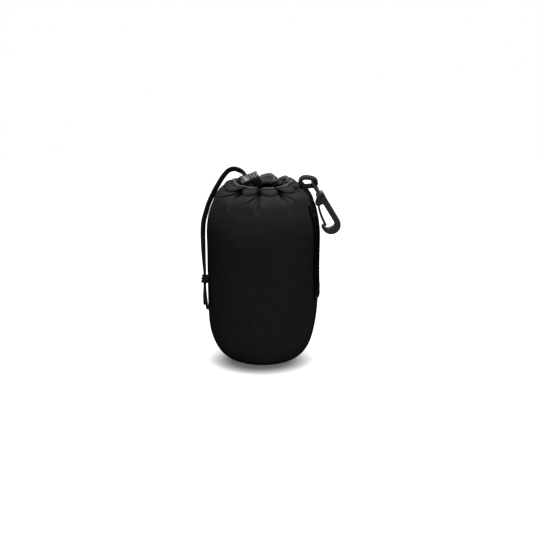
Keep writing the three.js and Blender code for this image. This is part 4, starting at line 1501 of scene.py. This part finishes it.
@dataclass
class PouchShell:
    """Padded wall and base, lining, seam tape and the gathered hem."""

    form: PouchForm = field(default_factory=PouchForm)
    pad: float = 4.5
    gap: float = 0.3
    lining: float = 1.2
    tape: Pair = (8.0, 1.0)
    tape_radius: float = 40.0
    steps: int = 450
    hem_steps: int = 540
    thin: int = 3
    stitch_pitch: float = 2.7
    thread: float = 0.55
    stitch_rows: tuple[tuple[str, float, float], ...] = (
        ("hem_lower_stitches", 0.25, -0.35), ("hem_upper_stitches", 8.1, -0.5),
    )
    hem_outer: tuple[Pair, ...] = (
        (0.15, 0.6), (0.5, 0.1), (1.2, -0.6), (2.4, -1.2), (4.0, -1.5), (5.6, -1.2), (6.8, -0.5), (7.6, 0.2),
        (8.1, 0.6), (8.6, 0.2), (9.3, -0.2), (10.2, -0.2), (10.9, 0.2), (11.35, 0.9),
    )
    hem_inner: tuple[Pair, ...] = (
        (11.5, 1.8), (11.35, 2.6), (10.9, 3.2), (10.2, 3.6), (9.2, 3.8), (8.1, 4.0), (7.2, 5.0), (6.4, 6.4),
        (5.0, 7.1), (3.4, 7.3), (1.8, 7.3), (0.15, 7.2),
    )

    def inner_line(self, line: Sequence[Pair], depth: float) -> list[Pair]:
        """Offset a profile inwards.

        Args:
            line: Radius and height pairs, rising.
            depth: How far below the face.

        Returns:
            The offset pairs, in the same order.
        """
        moved = []
        for i, (radius, height) in enumerate(line):
            before, after = line[max(i - 1, 0)], line[min(i + 1, len(line) - 1)]
            ahead = Vector((after[0] - before[0], after[1] - before[1])).normalized()
            moved.append((max(0.0, radius - ahead.y * depth), height + ahead.x * depth))
        return moved

    def layer_profile(self, line: Sequence[Pair], outer_depth: float, inner_depth: float) -> list[Pair]:
        """Return the closed profile of a layer between two depths below a rising face."""
        return self.inner_line(line, outer_depth) + self.inner_line(line, inner_depth)[::-1]

    def gathered_layer(self, outer_depth: float, inner_depth: float) -> BMesh:
        """Spin a layer of the wall and gather it.

        Args:
            outer_depth: Depth of its outer face below the wall's face; at 0 it gets the fine creases.
            inner_depth: Depth of its inner face.

        Returns:
            The gathered layer.
        """
        line = self.form.outer_line()
        coarse = line[::self.thin] + ([] if (len(line) - 1) % self.thin == 0 else [line[-1]])
        fine = outer_depth == 0.0
        near, steps = (line, self.steps) if fine else (coarse, self.steps // 2)
        profile = self.inner_line(near, outer_depth) + self.inner_line(coarse, inner_depth)[::-1]
        bm = bmesh.new()
        level, face, painted_light_and_wear = (bm.verts.layers.float.new(name) for name in ("level", "face", PAINTED_LIGHT_AND_WEAR))
        verts = []
        for k, ((radius, height), (_, source)) in enumerate(zip(profile, [*near, *reversed(coarse)])):
            vert = bm.verts.new((radius, 0.0, height))
            vert[level] = source
            vert[face] = 1.0 if fine and k < len(near) else 0.0
            verts.append(vert)
        spin_line(bm, verts, steps)
        for vert in bm.verts:
            angle, flat = math.atan2(vert.co.y, vert.co.x), math.hypot(vert.co.x, vert.co.y)
            radius = self.form.wall_radius(angle, flat, vert[level], vert[face])
            # Painted light and shade, on the wall's outer face only.
            vert[painted_light_and_wear] = vert[face] * self.form.wall_painted_light(angle, flat, vert[level])
            vert.co = polar(radius, angle, vert.co.z)
        turn_out(bm)
        return bm

    def build(self, finishes: Finishes) -> None:
        """Make every piece of the shell.

        Args:
            finishes: Materials to use.
        """
        bm = self.gathered_layer(0.0, self.pad)
        wall = finish_piece("padded_wall", bm, Body.POUCH, Slot.NEOPRENE, finishes.knit)
        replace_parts(wall, "wall_panel")
        start = self.pad + self.gap
        bm = self.gathered_layer(start, start + self.lining)
        lining = finish_piece("plush_wall_lining", bm, Body.POUCH, Slot.PLUSH, finishes.plush)
        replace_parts(lining, "wall_lining")
        middle = self.inner_line(self.form.outer_line(), start + self.lining / 2)
        length = path_length([Vector(point) for point in middle])
        self.make_base(finishes)
        self.make_hem(finishes)

    def make_disc(self, name: str, depths: Pair, slot: Slot, material: Material) -> Object:
        """Turn one layer of the round base.

        Args:
            name: Name of the piece.
            depths: Depths of its two faces below the outer face, in millimetres.
            slot: Material slot that it belongs to.
            material: Finish to give it.

        Returns:
            The layer.
        """
        profile = self.layer_profile(self.form.base_line(), *depths)
        bm = turned_shell(profile, self.steps // 3, closed=False)
        return finish_piece(name, bm, Body.POUCH, slot, material)

    def make_base(self, finishes: Finishes) -> None:
        """Make the round base, its lining and the tape over the seam."""
        start = self.pad + self.gap
        base = self.make_disc("padded_base", (0.0, self.pad), Slot.NEOPRENE, finishes.knit)
        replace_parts(base, "base_panel")
        depths = (start, start + self.lining)
        lining = self.make_disc("plush_base_lining", depths, Slot.PLUSH, finishes.plush)
        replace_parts(lining, "base_lining")
        face = self.inner_line(self.form.base_line(), start)
        reach = path_length([Vector(point) for point in face]) * MM
        self.make_tape(finishes)

    def make_tape(self, finishes: Finishes) -> None:
        """Lay the tape over the inside of the base seam."""
        width, thickness = self.tape
        depth = self.pad + self.lining + 2 * self.gap
        near = [p for p in self.form.corner_line() if abs(p[1] - self.form.seam_height) < 0.36 * width]
        bm = turned_shell(self.layer_profile(near, depth, depth + thickness), self.steps // 3)
        uv = bm.loops.layers.uv.new(SURFACE)
        for face in bm.faces:
            middle = face.calc_center_median()
            facing = math.atan2(middle.y, middle.x)
            for loop in face.loops:
                angle = facing + turn_between(math.atan2(loop.vert.co.y, loop.vert.co.x), facing)
                loop[uv].uv = (angle * self.tape_radius, loop.vert.co.z)
        tape = finish_piece("seam_binding", bm, Body.POUCH, Slot.WEBBING, finishes.webbing)
        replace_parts(tape, "base_seam_tape")

    def hem_section(self) -> list[Triple]:
        """Return the folded hem's section as place along, depth and outer share."""
        outer = [(along, depth, 1.0) for along, depth in self.hem_outer]
        return outer + [(along, depth, max(0.0, 1.0 - depth / 4.0)) for along, depth in self.hem_inner]

    def make_hem(self, finishes: Finishes) -> None:
        """Make the gathered hem with its two rows of stitches."""
        bm = bmesh.new()
        face, place, painted_light_and_wear = (bm.verts.layers.float.new(name) for name in ("face", "along", PAINTED_LIGHT_AND_WEAR))
        verts = []
        for along, depth, share in self.hem_section():
            radius, height = self.form.band_point(along, depth)
            vert = bm.verts.new((radius, 0.0, height))
            vert[face], vert[place] = share, along
            verts.append(vert)
        spin_line(bm, verts, self.hem_steps)
        for vert in bm.verts:
            angle, flat = math.atan2(vert.co.y, vert.co.x), math.hypot(vert.co.x, vert.co.y)
            radius, height = self.form.hem_place(angle, flat, vert.co.z, vert[face])
            # Painted light and shade of the hem.
            vert[painted_light_and_wear] = self.form.hem_painted_light_and_wear(angle, vert[place], vert[face])
            vert.co = polar(radius, angle, height)
        bmesh.ops.recalc_face_normals(bm, faces=bm.faces)
        hem = finish_piece("gathered_hem", bm, Body.POUCH, Slot.NEOPRENE, finishes.knit)
        soften(hem)
        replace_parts(hem, "hem_casing")
        for name, along, lift in self.stitch_rows:
            line = []
            for k in range(self.hem_steps):
                angle = TURN * k / self.hem_steps
                here = self.form.hem_face(angle, along, lift)
                line.append((here, self.form.hem_face(angle, along, lift + 1.0) - here))
            sew(name, line, self.stitch_pitch, self.thread, finishes.thread, closed=True)


def strap_section(width: float, thickness: float, steps: int, lift: float = 0.0) -> list[Pair]:
    """Return the section of flat webbing with rounded selvedges.

    Args:
        width: Width of the webbing, in millimetres.
        thickness: Its thickness.
        steps: Number of faces across it.
        lift: How far its middle lies above the line that it follows.

    Returns:
        Points through the thickness and across the width.
    """
    half, edge = width / 2, thickness / 2
    across = [mix(edge - half, half - edge, k / steps) for k in range(steps + 1)]
    turn = [math.pi * k / 6 for k in range(1, 6)]
    section = [(edge, b) for b in across]
    section += [(edge * math.cos(t), half - edge + edge * math.sin(t)) for t in turn]
    section += [(-edge, b) for b in reversed(across)]
    section += [(-edge * math.cos(t), edge - half - edge * math.sin(t)) for t in turn]
    return [(a + lift, b) for a, b in section]


@dataclass
class BeltLoop:
    """Wide flat webbing sewn down at both ends on the right flank."""

    form: PouchForm = field(default_factory=PouchForm)
    width: float = 25.0
    thickness: float = 1.4
    bottom: float = 60.0
    top: float = 146.0
    angle: float = -11.0
    bow: float = 0.3
    gap: float = 0.3
    sewn: float = 9.0
    side_inset: float = 2.0
    end_inset: float = 1.6
    stitch_pitch: float = 2.6
    stitch_steps: int = 12
    thread: float = 0.5
    columns: int = 20
    rows: int = 64

    def place(self, across: float, height: float, lift: float) -> Vector:
        """Return a point of the webbing.

        Args:
            across: Distance from its middle, in millimetres.
            height: Height above the floor.
            lift: Distance above its inner face.

        Returns:
            The point.
        """
        rise = (height - self.bottom) / (self.top - self.bottom)
        angle = math.radians(self.angle) + across / self.form.radius
        flank = radius_at(self.form.outer_line(), height)
        wall = self.form.wall_radius(angle, flank, height, 0.0)
        return polar(wall + self.gap + self.bow * math.sin(math.pi * rise) + lift, angle, height)

    def build(self, finishes: Finishes) -> None:
        """Make the webbing and its stitches.

        Args:
            finishes: Materials to use.
        """
        section = strap_section(self.width, self.thickness, self.columns)
        rings = []
        for k in range(self.rows + 1):
            height = mix(self.bottom, self.top, k / self.rows)
            rings.append([self.place(b, height, self.thickness / 2 + a) for a, b in section])
        bm = loft(rings, 2 * (self.width + self.thickness))
        strap = finish_piece("belt_webbing", bm, Body.POUCH, Slot.WEBBING, finishes.shaded_belt)
        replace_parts(strap, "belt_loop")
        half = self.width / 2 - self.side_inset
        for name, low, high in (("belt_stitches_low", self.bottom + self.end_inset, self.bottom + self.sewn),
                                ("belt_stitches_high", self.top - self.sewn, self.top - self.end_inset)):
            corners = [(-half, low), (half, low), (half, high), (-half, high), (-half, low), (half, high),
                       (half, low), (-half, high)]
            line = []
            for (a0, z0), (a1, z1) in zip(corners, corners[1:]):
                for share in (k / self.stitch_steps for k in range(self.stitch_steps)):
                    across, height = mix(a0, a1, share), mix(z0, z1, share)
                    here = self.place(across, height, self.thickness + 0.05)
                    line.append((here, self.place(across, height, self.thickness + 1.0) - here))
            sew(name, line, self.stitch_pitch, self.thread, finishes.thread)


@dataclass
class HookTab:
    """Narrow webbing loop that carries the hook's eye, on a foot sewn to the right flank."""

    form: PouchForm = field(default_factory=PouchForm)
    width: float = 10.0
    thickness: float = 2.0
    columns: int = 10
    bar: Pair = (44.6, 163.0)
    bend_radius: float = 2.9
    bend_turns: tuple[float, ...] = (60.0, 0.0, -60.0, -115.0)
    foot: Pair = (35.5, 160.0)
    rise: float = 7.2
    lean: float = 1.8
    foot_bottom: float = 146.4
    foot_top: float = 157.5
    sunk: float = 0.3
    loop_extra: float = 0.8
    stitch_rows: tuple[tuple[str, float], ...] = (("tab_stitches_low", 0.2), ("tab_stitches_mid", 0.55))
    stitch_pitch: float = 2.1
    thread: float = 0.5
    across: Vector = Vector((0.0, 1.0, 0.0)).freeze()

    def loop_path(self) -> list[Vector]:
        """Return the loop's closed line round the bar, in the X-Z plane."""
        turns = [math.radians(turn) for turn in self.bend_turns]
        flat = [(self.bar[0] + self.bend_radius * math.cos(t), self.bar[1] + self.bend_radius * math.sin(t))
                for t in turns]
        x, z = self.foot
        flat += [(x + 5.0, z), (x + 1.9, z), (x, z + 1.9), (x - self.lean, z + 0.6 * self.rise),
                 (x + 0.3, z + 0.92 * self.rise), (x + 2.8, z + self.rise)]
        return round_curve([Vector((a, 0.0, b)) for a, b in flat], 0.5, closed=True)

    def foot_path(self) -> list[Vector]:
        """Return the foot's line up the wall to the loop."""
        points = []
        for radius, height in self.form.outer_line():
            if height >= self.foot_bottom and (not points or height - points[-1].z > 2.0):
                wall = self.form.wall_radius(0.0, radius, height, 0.0)
                points.append(Vector((wall - self.sunk + self.thickness / 2, 0.0, height)))
        x, z = self.foot
        points = [p for p in points if p.z < self.foot_top]
        points += [Vector((x + 0.35, 0.0, z - 0.6)), Vector((x, 0.0, z + 1.9))]
        return round_curve(points, 0.6)

    def build(self, finishes: Finishes) -> None:
        """Make the webbing loop and its stitches.

        Args:
            finishes: Materials to use.
        """
        whole = bmesh.new()
        foot = self.foot_path()
        for path, extra in ((self.loop_path(), self.loop_extra), (foot, 0.0)):
            section = strap_section(self.width, self.thickness + extra, self.columns, extra / 2)
            absorb(whole, sweep(path, section, self.across, 2 * (self.width + self.thickness)))
        tab = finish_piece("hook_webbing", whole, Body.POUCH, Slot.WEBBING, finishes.webbing)
        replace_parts(tab, "hook_tab")
        for name, share in self.stitch_rows:
            at = round(share * (len(foot) - 1))
            ahead = (foot[at + 1] - foot[at]).normalized()
            out = self.across.cross(ahead)
            out = out if out.x > 0 else -out
            middle = foot[at] + out * (self.thickness / 2 + 0.05)
            row = [(middle + self.across * (k * self.stitch_pitch), out) for k in range(-2, 3)]
            sew(name, row, self.stitch_pitch, self.thread, finishes.thread)


def merged_copy(node: str) -> BMesh:
    """Return a copy of a node's mesh in millimetres, with its corners merged."""
    bm = bmesh.new()
    bm.from_mesh(frame["nodes"][node].data)
    bmesh.ops.scale(bm, vec=(1 / MM, 1 / MM, 1 / MM), verts=bm.verts)
    bmesh.ops.remove_doubles(bm, verts=bm.verts, dist=NODE_MERGE)
    return bm


def moulded_copy(node: str, name: str, body: Body, material: Material, rounding: float,
                 light_and_wear: Callable[[Vector], float] | None = None) -> Object:
    """Round the edges of a rigid node in a merged copy of it.

    Args:
        node: Node to copy and replace.
        name: Name of the new piece.
        body: Body that carries it.
        material: Finish to give it.
        rounding: Width of the rounding, in millimetres.
        light_and_wear: Rule for the painted light of a point, from -1 for painted shade in a slot to 1 for a
            painted highlight on a crest.

    Returns:
        The new piece.
    """
    bm = merged_copy(node)
    bmesh.ops.dissolve_limit(bm, angle_limit=FLAT_ANGLE, use_dissolve_boundaries=False,
                             verts=bm.verts, edges=bm.edges, delimit=set())
    sharp = [e for e in bm.edges if len(e.link_faces) == 2 and e.calc_face_angle() > BEVEL_ANGLE]
    bmesh.ops.bevel(bm, geom=sharp, offset=rounding, offset_type="OFFSET", segments=3, profile=0.5,
                    affect="EDGES", material=-1, clamp_overlap=True)
    # Paint light and shade by the rule into the vertex attribute.
    if light_and_wear is not None:
        painted_light_and_wear = bm.verts.layers.float.new(PAINTED_LIGHT_AND_WEAR)
        for vert in bm.verts:
            vert[painted_light_and_wear] = light_and_wear(vert.co)
    piece = finish_piece(name, bm, body, Slot.ACETAL, material)
    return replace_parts(piece, node)


@dataclass
class CordLock:
    """The sprung cord lock: ribbed barrel, plunger and spring."""

    frame: LockFrame = field(default_factory=LockFrame)
    width: float = 11.9
    back: float = -9.95
    mouth: float = 3.05
    end_wall: float = 1.4
    slots: int = 4
    slot_width: float = 1.2
    spring_floor: float = -8.55
    spring_length: float = 5.2
    travel: float = 3.0
    rounding: float = 0.18
    # Where the barrel's painted shade and painted highlight fall.
    slot_margin: float = 0.05
    slot_end: float = 0.1
    crest: float = 0.06

    def light_and_wear(self, point: Vector) -> float:
        """Return the painted light of a point of the barrel: a painted highlight on the ribs' crests and
        painted shade in the slots.
        """
        along, _, up = self.frame.matrix().inverted() @ point
        pitch = (self.mouth - self.back - 2 * self.end_wall) / self.slots
        aside = abs((along - self.back - self.end_wall) % pitch - pitch / 2)
        within = self.back + self.end_wall < along < self.mouth - self.end_wall
        inside = self.width / 2 - abs(up)
        if within and aside < self.slot_width / 2 + self.slot_margin and inside > self.slot_end:
            return -1.0
        return 1.0 if inside < self.crest else 0.0

    def build(self, finishes: Finishes) -> None:
        """Make the barrel, the plunger and the spring.

        Args:
            finishes: Materials to use.
        """
        plastic = finishes.lit_lock_acetal
        # The barrel gets a painted highlight on the ribs' crests and painted shade in the slots.
        moulded_copy("lock_barrel", "ribbed_barrel", Body.LOCK, plastic, self.rounding, self.light_and_wear)
        moulded_copy("lock_plunger", "lock_button", Body.PLUNGER, plastic, self.rounding)
        bm = merged_copy("lock_spring")
        spring = finish_piece("button_spring", bm, Body.LOCK, Slot.STEEL, finishes.steel)
        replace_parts(spring, "lock_spring")
        floor = self.frame.matrix() @ Vector((self.spring_floor, 0.0, 0.0))
        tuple(self.frame.axis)
        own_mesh(spring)


@dataclass
class SnapHook:
    """The swivel snap hook: eye, frame, gate, pin and return spring."""

    bar: Triple = (44.6, 0.0, 163.0)
    lean: float = 31.0
    hub_top: float = -10.4
    # Depth and full share of the painted highlight on the knob.
    knob: float = 3.4
    knob_highlight: float = 0.4
    rounding: float = 0.5
    gate_rounding: float = 0.3

    def light_and_wear(self, point: Vector) -> float:
        """Return the painted highlight on a point of the frame, on the knob where the eye turns."""
        turn = Matrix.Rotation(math.radians(self.lean), 3, "Y")
        drop = self.hub_top - (turn @ (point - Vector(self.bar))).z
        return 1.0 - smoothstep(self.knob_highlight * self.knob, self.knob, drop)

    def build(self, finishes: Finishes) -> None:
        """Make the moulded pieces, and dress the metal ones.

        Args:
            finishes: Materials to use.
        """
        moulded_copy("swivel_eye", "eye_loop", Body.EYE, finishes.acetal, self.rounding)
        # The frame gets a painted highlight on its knob.
        moulded_copy("hook_frame", "hook_body", Body.HOOK, finishes.acetal, self.rounding, self.light_and_wear)
        moulded_copy("hook_gate", "spring_gate", Body.GATE, finishes.acetal, self.gate_rounding)
        dress("gate_pin", finishes.black_steel)
        dress("gate_spring", finishes.steel)


def dress(node: str, material: Material) -> None:
    """Give a carried-over node a finish."""
    piece = frame["nodes"][node]
    piece.data.materials.clear()
    piece.data.materials.append(material)


def main() -> None:
    """Build the scene piece by piece."""
    logging.basicConfig(level=logging.INFO, format="%(name)s: %(message)s")
    Studio().build()
    finishes = Finishes()
    DrawCord().build(finishes)
    PouchShell().build(finishes)
    BeltLoop().build(finishes)
    HookTab().build(finishes)
    CordLock().build(finishes)
    SnapHook().build(finishes)


if __name__ == "__main__":
    main()
